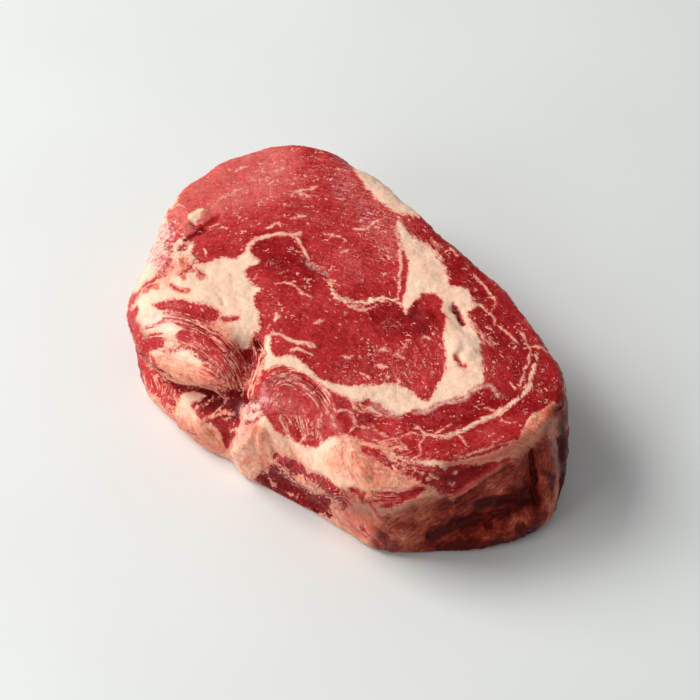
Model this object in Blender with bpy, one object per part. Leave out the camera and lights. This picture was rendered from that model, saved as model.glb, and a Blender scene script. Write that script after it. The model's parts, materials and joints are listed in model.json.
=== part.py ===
"""A thick raw rib-eye steak, one solid, lying on its lower cut face.

The steak stands on z = 0, with its long axis along X and the thick cap muscle at +X. The side
with the loose flap and the notch beside it faces -Y. Sizes are in millimetres, and the finished
mesh is scaled to metres once, at the end.
"""

import math

import bmesh
import bpy
from mathutils import Vector, noise
from mathutils.geometry import intersect_point_line

# Driving dimensions
THICKNESS = 41.5
METRES = 0.001

# The footprint, counter-clockwise from the cap end: the round cap end, the straight back edge,
# the round eye end, then the nearly straight front edge
FOOTPRINT = (
    (86, 5), (84, 16), (76, 27), (61, 35), (44, 41), (23, 46), (0, 47), (-20, 51), (-40, 53),
    (-60, 50), (-73, 43), (-81, 32), (-86, 12), (-83, -9), (-72, -29), (-60, -45), (-42, -53),
    (-15, -54), (8, -52), (30, -47), (52, -43), (66, -33), (79, -15),
)

# How the surface is divided: columns and rows of the upper face, then rows down the side
FACE_COLUMNS, FACE_ROWS = 56, 40
SHOULDER_ROWS, WALL_ROWS, FOOT_ROWS = 5, 9, 2

# The edge between the upper face and the side: crisp at the back, slumped along the front, and
# rounded where a strip of fat lies over the back edge. A pair gives where a form starts to show
# along X or Y, and where it is full.
CRISP_SHOULDER = 3.0
SLUMPED_SHOULDER, SLUMPED_IN_Y, SLUMP_OVER_X = 13.0, (-5, -35), (56, 78)
FAT_SHOULDER, FAT_IN_Y, FAT_FROM_X, FAT_OVER_X = 8.0, (30, 44), (-66, -50), (-30, -12)
FOOT_RADIUS = 2.5
WALL_BELLY = 1.2

# How far the upper edge stands inside the foot: little all round, more where the cap end leans
RIM_INSET = 0.6
CAP_END_INSET, CAP_END_FROM_X, CAP_END_OVER_Y = 7.0, (58, 78), (12, 40)

# The corner over the flap hangs lower than the rest of the upper face
FLAP_SLUMP, FLAP_IN_X, FLAP_IN_Y = 4.0, (-15, -70), (0, -50)

# Folds pressed into the surface: a name, the width, and a path of x, y, z and depth
FOLDS = (
    ("under the flap", 4.5, ((-68, -38, 16, 0), (-54, -51, 16, 5), (-40, -54, 16, 8),
                             (-25, -54, 19, 9), (-12, -53, 26, 8), (-3, -50, 31, 6))),
    ("bare lean in the hollow", 8.0, ((-15, -54, 22, 4), (-8, -54, 14, 3))),
    ("notch over the shoulder", 4.2, ((-18, -28, 42, 0), (-11, -34, 42, 5), (-4, -41, 41, 8),
                                      (0, -48, 37, 7))),
    ("notch down to the foot", 4.5, ((0, -52, 30, 4), (-2, -52, 18, 4), (-4, -53, 0, 3))),
    ("lean along the front foot", 6.0, ((12, -50, 12, 0), (19, -48, 9, 3), (31, -45, 7, 3),
                                        (45, -43, 4, 2))),
    ("lean under the fat pad", 4.0, ((36, -46, 12, 0), (52, -42, 17, 2.5), (66, -32, 22, 2.5),
                                     (74, -18, 28, 1))),
    ("long groove in the skin", 4.5, ((64, -34, 7, 0), (71, -27, 8, 3), (79, -13, 13, 4),
                                      (84, -3, 17, 1))),
    ("slanting crease", 3.0, ((77, -15, 25, 0), (80, -8, 21, 3), (83, -1, 17, 2))),
    ("upright crease", 3.0, ((79, 6, 38, 1.5), (82, 4, 28, 3.5), (84, 3, 16, 3))),
    ("first fold round the cap end", 3.5, ((79, 21, 36, 1), (82, 18, 20, 2.5), (83, 17, 2, 1))),
    ("second fold round the cap end", 3.5, ((66, 34, 34, 2), (68, 33, 4, 2))),
    ("fold in the back edge", 5.0, ((18, 46, 38, 1), (20, 46, 20, 2.5), (24, 45, 4, 1.5))),
    ("crease along the back", 4.0, ((-55, 51, 26, 0), (-35, 53, 20, 2), (-8, 48, 16, 2),
                                    (12, 46, 14, 0))),
    ("seam down the eye end", 4.0, ((-84, 8, 40, 1), (-86, 4, 24, 2.5), (-84, -2, 6, 2))),
    ("torn edge at the left", 3.5, ((-72, -24, 40, 2.5), (-62, -19, 41, 2), (-53, 0, 42, 0.8))),
    ("tear in the eye", 3.5, ((-31, 7, 42, 0.5), (-23, 9, 42, 1.4), (-16, 10, 42, 0.5))),
    ("crevice beside the wedge", 2.5, ((20, 27, 42, 0.6), (31, 22, 42, 1.2), (42, 17, 42, 0.4))),
    ("lower half of the eye", 14.0, ((-2, 5, 42, 0.9), (22, -2, 42, 0.9))),
)

# Swells pushed out of the surface, written the same way
SWELLS = (
    ("front of the flap", 8.0, ((-58, -46, 29, 1.5), (-42, -52, 28, 3), (-26, -53, 30, 3.5),
                                (-13, -50, 35, 2.5), (-8, -46, 39, 1))),
    ("tip of the flap", 5.5, ((-68, -38, 24, 1.5), (-61, -46, 23, 2.2))),
    ("fat below the flap", 7.0, ((-52, -51, 10, 0.5), (-34, -54, 11, 2), (-16, -54, 11, 2.5))),
    ("corner of the front fat", 5.5, ((13, -47, 34, 2.5), (8, -50, 24, 2.5), (3, -52, 12, 2))),
    ("fat pad under the front rim", 7.0, ((24, -46, 27, 1), (42, -44, 27, 3), (58, -38, 28, 3),
                                          (68, -27, 32, 1.5))),
    ("skin pad at the cap end", 6.5, ((76, -19, 4, 1), (83, -7, 7, 2), (86, 3, 7, 2))),
    ("eye muscle", 28.0, ((-50, 14, 42, 0.9), (-12, 22, 42, 0.9))),
    ("cap muscle", 11.0, ((20, 33, 42, 0.6), (60, 12, 42, 0.8), (58, -20, 41, 0.8))),
    ("wedge of fat", 6.0, ((-10, 34, 42, 0.5), (20, 20, 42, 0.6), (50, 6, 42, 0.5))),
)

# The slight unevenness of soft meat: size of the bumps and their height
BUMPS = ((24.0, 0.9), (9.0, 0.5))
LEVEL_FOOT = 6.0

RED_MEAT = (0.33, 0.03, 0.035, 1.0)
WET_ROUGHNESS = 0.35


def smooth(low, high, value):
    """0 before low, 1 past high, and an even slope between them."""
    share = min(1.0, max(0.0, (value - low) / (high - low)))
    return share * share * (3 - 2 * share)


def curve_point(a, b, c, d, share):
    """A point between b and c on the smooth curve through a, b, c and d."""
    near = (c - a) * share + (2 * a - 5 * b + 4 * c - d) * share ** 2
    return b + 0.5 * (near + (3 * b - a - 3 * c + d) * share ** 3)


def closed_curve(points, count, steps=40):
    """Evenly spaced places on the closed smooth curve through the points."""
    dense = []
    for i in range(len(points)):
        around = [Vector(points[(i + k) % len(points)]) for k in (-1, 0, 1, 2)]
        dense += [curve_point(*around, step / steps) for step in range(steps)]
    lengths = [(dense[i - len(dense) + 1] - dense[i]).length for i in range(len(dense))]
    gap = sum(lengths) / count
    even, travelled = [], 0.0
    for i, length in enumerate(lengths):
        while len(even) < count and len(even) * gap < travelled + length:
            share = (len(even) * gap - travelled) / length
            even.append(dense[i].lerp(dense[i - len(dense) + 1], share))
        travelled += length
    return even


def face_height(x, y):
    """Height of the upper face: level, apart from the corner that slumps over the flap."""
    return THICKNESS - FLAP_SLUMP * smooth(*FLAP_IN_X, x) * smooth(*FLAP_IN_Y, y)


def side_section(point, outward):
    """One slice of the side at a point of the footprint, from the rim down to the foot."""
    x, y = point
    cap_end = smooth(*CAP_END_FROM_X, x) * (1 - smooth(*CAP_END_OVER_Y, y))
    front = smooth(*SLUMPED_IN_Y, y) * (1 - smooth(*SLUMP_OVER_X, x))
    back_fat = smooth(*FAT_IN_Y, y) * smooth(*FAT_FROM_X, x) * (1 - smooth(*FAT_OVER_X, x))
    shoulder = CRISP_SHOULDER + (SLUMPED_SHOULDER - CRISP_SHOULDER) * front
    shoulder += (FAT_SHOULDER - CRISP_SHOULDER) * back_fat
    inset = (RIM_INSET + (CAP_END_INSET - RIM_INSET) * cap_end) * (1 - front)
    top = face_height(x, y)
    profile = []
    for row in range(SHOULDER_ROWS + 1):
        angle = math.pi / 2 * row / SHOULDER_ROWS
        out = -inset - shoulder * (1 - math.sin(angle))
        profile.append((out, top - shoulder * (1 - math.cos(angle))))
    low, high = FOOT_RADIUS, top - shoulder
    for row in range(1, WALL_ROWS + 1):
        share = row / WALL_ROWS
        belly = WALL_BELLY * math.sin(math.pi * share)
        profile.append((belly - inset * (1 - share), high + (low - high) * share))
    for row in range(1, FOOT_ROWS + 1):
        angle = math.pi / 2 * row / FOOT_ROWS
        profile.append((-FOOT_RADIUS * (1 - math.cos(angle)), FOOT_RADIUS * (1 - math.sin(angle))))
    return [Vector((x + outward.x * out, y + outward.y * out, z)) for out, z in profile]


def grid_place(vert, around):
    """Share of the way from the middle to the rim, and columns travelled round it, of a grid point."""
    u, v = vert.co.x, vert.co.y
    reach = max(abs(u), abs(v))
    if reach == 0:
        return 0.0, 0.0
    u, v = u / reach, v / reach
    if u == 1:
        steps = v * FACE_ROWS / 2
    elif v == 1:
        steps = FACE_ROWS / 2 + (1 - u) * FACE_COLUMNS / 2
    elif u == -1:
        steps = FACE_ROWS / 2 + FACE_COLUMNS + (1 - v) * FACE_ROWS / 2
    else:
        steps = FACE_ROWS * 3 / 2 + FACE_COLUMNS + (1 + u) * FACE_COLUMNS / 2
    return reach, steps % around


def steak_body():
    """The plain slab: a grid drawn out to the rim, walled down row by row, closed by one flat face."""
    around = 2 * (FACE_COLUMNS + FACE_ROWS)
    footprint = closed_curve(FOOTPRINT, around)
    sides = []
    for i, point in enumerate(footprint):
        along = footprint[(i + 1) % around] - footprint[i - 1]
        sides.append(side_section(point, Vector((along.y, -along.x)).normalized()))

    bm = bmesh.new()
    bmesh.ops.create_grid(bm, x_segments=FACE_COLUMNS, y_segments=FACE_ROWS, size=1)
    columns = {}
    for vert in bm.verts:
        reach, steps = grid_place(vert, around)
        if vert.is_boundary:
            columns[vert] = round(steps) % around
            vert.co = sides[columns[vert]][0]
        else:
            before = int(steps)
            rim = sides[before][0].lerp(sides[(before + 1) % around][0], steps - before)
            x, y = rim.x * reach, rim.y * reach
            vert.co = (x, y, face_height(x, y))

    ring = [edge for edge in bm.edges if edge.is_boundary]
    for row in range(1, len(sides[0])):
        made = bmesh.ops.extrude_edge_only(bm, edges=ring)["geom"]
        ring = [item for item in made if isinstance(item, bmesh.types.BMEdge) and item.is_boundary]
        lower = {}
        for vert in {end for edge in ring for end in edge.verts}:
            above = next(e.other_vert(vert) for e in vert.link_edges if e.other_vert(vert) in columns)
            lower[vert] = columns[above]
            vert.co = sides[lower[vert]][row]
        columns = lower
    bmesh.ops.contextual_create(bm, geom=ring)
    bmesh.ops.recalc_face_normals(bm, faces=bm.faces)
    return bm


def stroke_depth(place, width, path):
    """Depth of one fold or swell at a place: full on its path, and gone two widths away."""
    deepest = 0.0
    for start, end in zip(path, path[1:]):
        head, tail = Vector(start[:3]), Vector(end[:3])
        share = intersect_point_line(place, head, tail)[1]
        share = min(1.0, max(0.0, share))
        distance = (place - head.lerp(tail, share)).length
        depth = start[3] + (end[3] - start[3]) * share
        deepest = max(deepest, depth * math.exp(-(distance / width) ** 2))
    return deepest


def shape_surface(bm):
    """Press the folds in, push the swells out and add the unevenness of soft meat."""
    bm.normal_update()
    moves = []
    for vert in bm.verts:
        push = sum(height * noise.noise(vert.co / size) for size, height in BUMPS)
        push += sum(stroke_depth(vert.co, width, path) for _, width, path in SWELLS)
        push -= sum(stroke_depth(vert.co, width, path) for _, width, path in FOLDS)
        above_foot = smooth(0, LEVEL_FOOT, vert.co.z)
        moves.append(Vector((vert.normal.x, vert.normal.y, vert.normal.z * above_foot)) * push)
    for vert, move in zip(bm.verts, moves):
        vert.co += move


def centre(bm):
    """Bring the middle of the steak's box over the origin."""
    for axis in (0, 1):
        places = [vert.co[axis] for vert in bm.verts]
        middle = (min(places) + max(places)) / 2
        for vert in bm.verts:
            vert.co[axis] -= middle


def meat_material():
    """Wet red meat."""
    material = bpy.data.materials.new("red_meat")
    material.use_nodes = True
    shader = material.node_tree.nodes["Principled BSDF"]
    shader.inputs["Base Color"].default_value = RED_MEAT
    shader.inputs["Roughness"].default_value = WET_ROUGHNESS
    shader.inputs["Metallic"].default_value = 0.0
    return material


def main():
    for old in list(bpy.data.objects):
        bpy.data.objects.remove(old)
    bm = steak_body()
    shape_surface(bm)
    centre(bm)
    bmesh.ops.scale(bm, vec=(METRES, METRES, METRES), verts=bm.verts)
    mesh = bpy.data.meshes.new("steak")
    bm.to_mesh(mesh)
    bm.free()
    mesh.shade_smooth()
    mesh.materials.append(meat_material())
    steak = bpy.data.objects.new("steak", mesh)
    bpy.context.scene.collection.objects.link(steak)


main()
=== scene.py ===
"""Looks of the raw beef steak: a marbled cut face, seams of cream fat, torn edges and a film-covered side."""

import json
import math

import bpy
import numpy as np
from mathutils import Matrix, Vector, noise
from mathutils.bvhtree import BVHTree

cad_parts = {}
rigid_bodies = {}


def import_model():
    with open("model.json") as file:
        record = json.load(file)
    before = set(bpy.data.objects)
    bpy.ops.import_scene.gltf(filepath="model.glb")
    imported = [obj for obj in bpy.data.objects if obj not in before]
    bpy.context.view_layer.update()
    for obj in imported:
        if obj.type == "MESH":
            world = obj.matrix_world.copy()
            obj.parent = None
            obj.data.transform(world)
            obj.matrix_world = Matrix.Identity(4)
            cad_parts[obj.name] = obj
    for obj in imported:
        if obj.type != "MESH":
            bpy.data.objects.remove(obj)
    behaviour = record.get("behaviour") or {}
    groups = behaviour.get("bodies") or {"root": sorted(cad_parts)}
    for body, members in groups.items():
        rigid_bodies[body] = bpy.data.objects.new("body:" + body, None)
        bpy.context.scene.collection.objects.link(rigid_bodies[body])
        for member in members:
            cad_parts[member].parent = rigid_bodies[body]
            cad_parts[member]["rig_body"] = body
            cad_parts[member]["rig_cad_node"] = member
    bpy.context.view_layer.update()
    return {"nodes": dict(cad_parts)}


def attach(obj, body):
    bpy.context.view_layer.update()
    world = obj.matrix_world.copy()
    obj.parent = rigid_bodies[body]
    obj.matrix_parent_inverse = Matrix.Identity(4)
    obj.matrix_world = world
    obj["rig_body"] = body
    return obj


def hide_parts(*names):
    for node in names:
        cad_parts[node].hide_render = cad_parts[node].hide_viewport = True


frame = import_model()

# The camera, as the steak was photographed
AZIMUTH = math.radians(47)
ELEVATION = math.radians(48)
DISTANCE = 0.66
LENS, SENSOR = 100.0, 36.0
AIM = Vector((-0.00011, 0.00158, 0.021))
PICTURE = 700
BACK = Vector((math.sin(AZIMUTH) * math.cos(ELEVATION), -math.cos(AZIMUTH) * math.cos(ELEVATION),
               math.sin(ELEVATION)))
EYE_POINT = AIM + BACK * DISTANCE
RIGHT = Vector((math.cos(AZIMUTH), math.sin(AZIMUTH), 0.0))
UP = BACK.cross(RIGHT)
MM_PER_PIXEL = DISTANCE * 1000 * SENSOR / LENS / PICTURE

# The steak's surface: millimetres in a metre, the height of the upper cut face in mm, how finely the copy of
# the solid is divided, the faces along one side of the underside's grid, and the triangles in the end. The
# last three are in metres: a gap that counts as none, the height below which faces are thinned, and the
# height below which a vertex belongs to the underside.
MM = 1000.0
FACE_HEIGHT = 41.5
SUBDIVISIONS = 2
FOOT_SPAN = 56
MOST_TRIANGLES = 190000
NO_GAP = 0.00001
THINNED_BELOW = 0.0003
UNDERSIDE_BELOW = 0.0006

# How marks are drawn, in the picture's pixels: how far one is felt, how far it strays from its drawn line,
# the narrowest half width that the mesh can hold, and the half width below which a stroke counts as thin
REACH = 14.0
WOBBLE = 1.8
NARROWEST = 1.3
THIN_BELOW = 2.6

# Where the grain runs round the steak or the eye's curl, mm of grain for each radian
ROUND_THE_STEAK, ROUND_THE_CURL = 68, 50

# The eye muscle: the middle that its fibres curl round, in mm, and its outline in the picture's pixels
EYE_CURL = (8.0, -42.0)
EYE_AREA = ((150, 250), (160, 190), (220, 140), (330, 130), (400, 200), (404, 300), (430, 290), (450, 330),
            (442, 390), (400, 400), (340, 390), (300, 362), (268, 340), (250, 300), (240, 255), (200, 262))

# Lines on the meat that more than one of the lists below uses, in the picture's pixels
SILVERSKIN = (
    (497, 396), (494.5, 389.5), (488, 386), (479, 387), (471, 392), (465, 398), (456, 400.5), (445, 403.5),
    (435, 407), (426, 411.5), (415, 413))
CRACK = ((247, 410), (251, 411), (254, 413))
HOLLOW = ((206, 398), (225, 402), (245, 408))
FRONT_FOOT = ((275, 480), (300, 492), (330, 510))
TEAR = ((193, 223), (197, 228), (204, 227), (211, 222), (217, 217))
UNDER_THE_TEAR = ((187, 240), (192, 236), (198, 232), (204, 229))
UPRIGHT_CREASE = ((531, 450), (533, 461), (534, 476), (533, 490), (536, 503))
SLANTING_CREASE = ((478, 504), (488, 501), (500, 499), (514, 498), (530, 500))
LOW_CREASE = ((502, 515), (510, 510), (517, 506), (524, 502))
BELT = ((430, 534), (443, 529), (457, 523), (472, 520), (488, 517), (496, 514))
CURL = ((544, 472), (549, 475), (553, 482), (551, 488))
STRIP_CREST = ((500, 464), (484, 474), (468, 486), (452, 496))
BASE_FOLD = ((519, 528), (527, 532), (537, 535))
CREAM_LOBE = ((165, 362), (190, 372), (215, 382))
HOLLOW_RIDGE = ((202, 421), (215, 415.5), (235, 413))
WALL_FOOT = ((352, 516), (372, 530), (395, 543))

# Marks on the meat, painted in this order: name, tissue, half width of a stroke (None for a filled area), and
# points in the picture's pixels. Each sits on the surface that shows there.
FAT, LEAN = 1, -1
FACE_MARKS = (
    ("wedge of fat at the left", FAT, None, (
        (251.6, 240.5), (246, 246), (243.2, 252.5), (238.6, 257), (232.5, 257.8), (223.3, 256.7),
        (215.6, 258.6), (208, 261.6), (201.8, 262.9), (195.7, 262.5), (191, 258), (184, 255), (178, 254),
        (174, 260), (169.7, 267.8), (160.5, 276.9), (151.3, 283.1), (142, 291), (136, 300), (131, 310),
        (133, 324), (146, 330), (160, 322), (176, 318), (196, 323), (214, 334), (232, 346), (246, 350),
        (254, 342), (257, 334.3), (260.8, 329), (260.8, 319.8), (259.2, 310.6), (257, 304.5), (254.6, 298.4),
        (257, 293.8), (263, 290.7), (255.4, 284.6), (250, 280.8), (246.2, 274.6), (247, 268.5), (257, 264.7),
        (260.8, 260.1), (257, 257), (251, 252.5), (251.6, 247.9), (254.6, 243.3))),
    ("lens of lean in the left wedge", LEAN, None, (
        (219.4, 316.5), (215.6, 310.6), (208, 306.8), (198.8, 303.7), (189.6, 301.4), (178.9, 299.9),
        (168.2, 301.1), (160.5, 303), (152.9, 304.8), (162, 309), (171.2, 312.1), (186.5, 317),
        (195.7, 319.5), (206, 321.5), (214.1, 321.5))),
    ("sliver of lean at the left", LEAN, 1.4, ((170, 284), (177, 288), (184, 291))),
    ("short sliver of lean at the left", LEAN, 1.3, ((146, 291), (151, 287), (157, 285))),
    ("scrap of lean in the wedge's edge", LEAN, 1.2, ((183, 262), (189, 266), (186, 271), (180, 275))),
    ("second scrap of lean", LEAN, 0.9, ((197, 269), (200, 273), (205, 275))),
    ("lean showing at the wedge's tip", LEAN, 1.6, ((222, 318), (231, 319), (238, 318))),
    ("seam above the eye's hollow", FAT, 2.5, (
        (250, 243), (258, 239.5), (271, 236.5), (288, 234), (302, 233.8))),
    ("seam down to the gouge", FAT, 2.0, ((292, 236), (298, 240), (303, 247), (307, 254), (310, 259))),
    ("ragged seam across the eye", FAT, 2.8, (
        (335, 281), (330, 287), (334, 294), (343, 300), (352, 302), (362, 303), (372, 301.5), (380, 299),
        (390, 300), (399, 303), (407, 306))),
    ("thin seam under the ragged one", FAT, 1.3, ((345, 305), (356, 308), (366, 310), (378, 305))),
    ("strand in front of the ragged seam", FAT, 1.4, ((322, 279), (329, 280), (335, 281))),
    ("pale line beside the right wedge", FAT, 1.8, (
        (392, 226), (396, 236), (399.5, 246), (401, 258), (400.5, 270), (399, 282), (398, 292), (399, 300))),
    ("wedge of fat at the right", FAT, None, (
        (398.6, 214.9), (401.7, 219.7), (406.5, 227.7), (412.9, 235.7), (420.9, 240.4), (428.9, 245.2),
        (436.8, 251.6), (441.6, 258), (446.4, 266), (449.6, 275.5), (450.4, 283.5), (452.8, 287.5),
        (460.7, 288.3), (464.7, 293.1), (467.1, 299.4), (468.7, 305.8), (467.9, 315.4), (473.5, 323.4),
        (476.7, 331.3), (478.3, 336.1), (481.5, 353.6), (483.1, 363.2), (484.7, 374.4), (484.7, 380),
        (478.3, 386), (470.3, 391), (465.5, 396.5), (456, 398.8), (444.8, 402), (435.2, 405), (425.7, 409.8),
        (414.5, 411), (406, 414.5), (398.6, 417.8), (390.6, 413.8), (377.8, 405.8), (366.7, 399.4),
        (361.9, 402.6), (353.9, 401), (339.6, 396.2), (329, 391), (318.2, 383.6), (307.4, 375.9),
        (293.7, 369.8), (281.4, 366.7), (271, 371), (262, 368), (262, 350), (265, 337), (272.2, 334.6),
        (271.5, 346.8), (276.8, 356.5), (287.6, 354.5), (299.8, 359.1), (310.5, 368.3), (318.2, 377),
        (330, 380.3), (341.2, 384.3), (353.9, 385.1), (368.3, 384.3), (384.2, 384.3), (395.4, 383.5),
        (396.2, 377.1), (399.4, 377.1), (400.2, 384.3), (406.5, 388.3), (414.5, 393), (419.3, 397.8),
        (427.3, 399.4), (432, 394.6), (436.8, 386.7), (441, 378.7), (444.8, 369.6), (445.6, 358.4),
        (444.8, 345.7), (443.2, 334.5), (444.8, 326.5), (445.6, 317), (441.6, 310.6), (441.6, 304.2),
        (438.4, 297), (432, 293.9), (422.5, 294.7), (419.3, 299.4), (412.9, 304.2), (408.1, 311.5),
        (401, 306), (400.2, 301), (404.1, 296.3), (405.7, 286.7), (406.5, 277.1), (408.1, 267.6),
        (406.5, 258), (402.5, 248.4), (398.6, 238.9), (396.2, 229.3))),
    ("lean in the crevice", LEAN, 1.6, ((453, 304), (457, 311), (461, 317), (466, 324))),
    ("scraps beside the lump", LEAN, 0.9, ((455, 357), (460, 362), (466, 366))),
    ("fat outside the right wedge", FAT, None, (
        (451, 287), (458, 286), (466, 288), (472, 296), (475, 306), (470, 312), (464, 308), (458, 298))),
    ("bits beyond the wedge", FAT, 1.3, ((468, 318), (474, 324), (480, 333), (485, 345))),
    ("bits beyond the wedge, lower", FAT, 1.0, ((482, 338), (488, 342), (494, 346))),
    ("silverskin under the right wedge", FAT, 1.7, SILVERSKIN),
    ("streak at the eye end", FAT, 1.5, ((235, 171), (242, 168), (249, 166))),
    ("long streak at the left", FAT, 1.4, (
        (212, 206), (219, 201), (226, 197), (233, 193), (240, 190), (245, 188))),
    ("forked streak", FAT, 1.5, ((291, 196), (295, 192), (303, 190.5), (311, 189), (319, 187))),
    ("lower tine of the forked streak", FAT, 1.1, ((296, 193), (303, 195), (311, 196.5))),
    ("straight streak", FAT, 1.3, ((289, 220), (297, 218), (306, 217))),
    ("branched streak below it", FAT, 1.3, ((265, 228), (272, 225), (276, 222), (282, 227))),
    ("two-part streak", FAT, 1.3, ((324, 233), (331, 234), (336, 236), (343, 238), (347, 242))),
    ("its short neighbour", FAT, 1.1, ((340, 254), (346, 251), (351, 249))),
    ("streak by the back edge", FAT, 1.5, (
        (353, 229), (360, 229), (367, 228), (373, 223), (378, 220), (384, 218))),
    ("streak at the seam's end", FAT, 1.4, (
        (276, 283), (284, 281.5), (292, 285), (299, 290), (303, 294), (313, 296))),
    ("fleck near the middle", FAT, 1.5, ((314, 323.5), (319, 322), (325, 320.5))),
    ("fleck at the front", FAT, 1.4, ((341, 355), (347, 357), (353, 356))),
    ("blot of fat", FAT, 2.2, ((397, 351), (400, 356), (407, 359))),
    ("arm of the blot", FAT, 1.1, ((401, 352), (404, 347), (409, 341))),
    ("hook of fat", FAT, 1.4, ((422, 336), (427, 338), (431, 341))),
    ("fleck above the band", FAT, 2.2, ((377, 365), (383, 367), (388, 368))),
    ("fleck beside it", FAT, 1.8, ((360, 373), (365, 376), (371, 379))),
    ("small dash", FAT, 1.1, ((377, 352), (383, 350), (388, 351))),
    ("dash under the bay", FAT, 1.3, ((384, 385), (388, 380), (390, 376))),
    ("blade of the fan by the notch", FAT, 2.2, ((270, 333), (282, 336), (294, 341), (306, 344), (316, 347))),
    ("second blade of the fan", FAT, 2.0, ((290, 352), (296, 348), (304, 351), (314, 355))),
    ("upright bit by the wedge", FAT, 2.4, ((277, 311), (277, 317), (275, 322))),
    ("strand across the cap", FAT, 1.3, ((469, 301), (475, 303), (481, 307), (489, 312))),
    ("upper strand of the cap", FAT, 1.4, (
        (473, 275), (480, 282), (486, 288), (491, 295), (495, 304), (491, 312))),
    ("strand between them", FAT, 1.3, ((494, 319), (497, 325), (506, 331), (515, 340), (520, 345))),
    ("short strand of the cap", FAT, 1.1, ((491, 312), (494, 319), (493, 327))),
    ("side strand of the cap", FAT, 1.3, ((523, 350), (530, 348), (537, 347), (543, 348), (548, 353))),
    ("strand up to the junction", FAT, 1.4, ((519, 331), (524, 338), (530, 347))),
    ("inner strand down the cap", FAT, 1.5, ((531, 350), (528, 363), (524, 372), (521, 380), (520, 390))),
    ("great strand round the cap", FAT, 2.7, (
        (538, 352), (535, 364), (532, 376), (529, 388), (519, 398), (507, 407), (494, 416), (482, 421),
        (470, 426), (458, 433), (448, 436.5), (436, 436.5), (424, 436))),
    ("branch to the silverskin", FAT, 1.1, (
        (413, 425.5), (419, 429), (426, 434), (436, 434), (444, 428), (452, 424))),
    ("drop from the great strand", FAT, 1.4, ((424, 436), (421, 443), (420, 450), (421, 456))),
    ("branch towards the cap end", FAT, 1.1, ((458, 435), (464, 440), (467, 446))),
    ("whisker above the great strand", FAT, 1.1, ((483, 408), (490, 410), (497, 412))),
    ("whisker below the great strand", FAT, 1.0, ((500, 421), (508, 423), (516, 421))),
    ("dash in the dark end", FAT, 1.1, ((510, 381), (513, 386), (516, 391))),
    ("pale fleck by the back edge", FAT, 1.5, ((434, 241), (438, 245), (440, 248))),
    ("pale dash at the back edge", FAT, 1.0, ((449, 248), (454, 252), (459, 256))),
    ("dot in the cap", FAT, 1.0, ((474, 288), (477, 291))),
)
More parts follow.
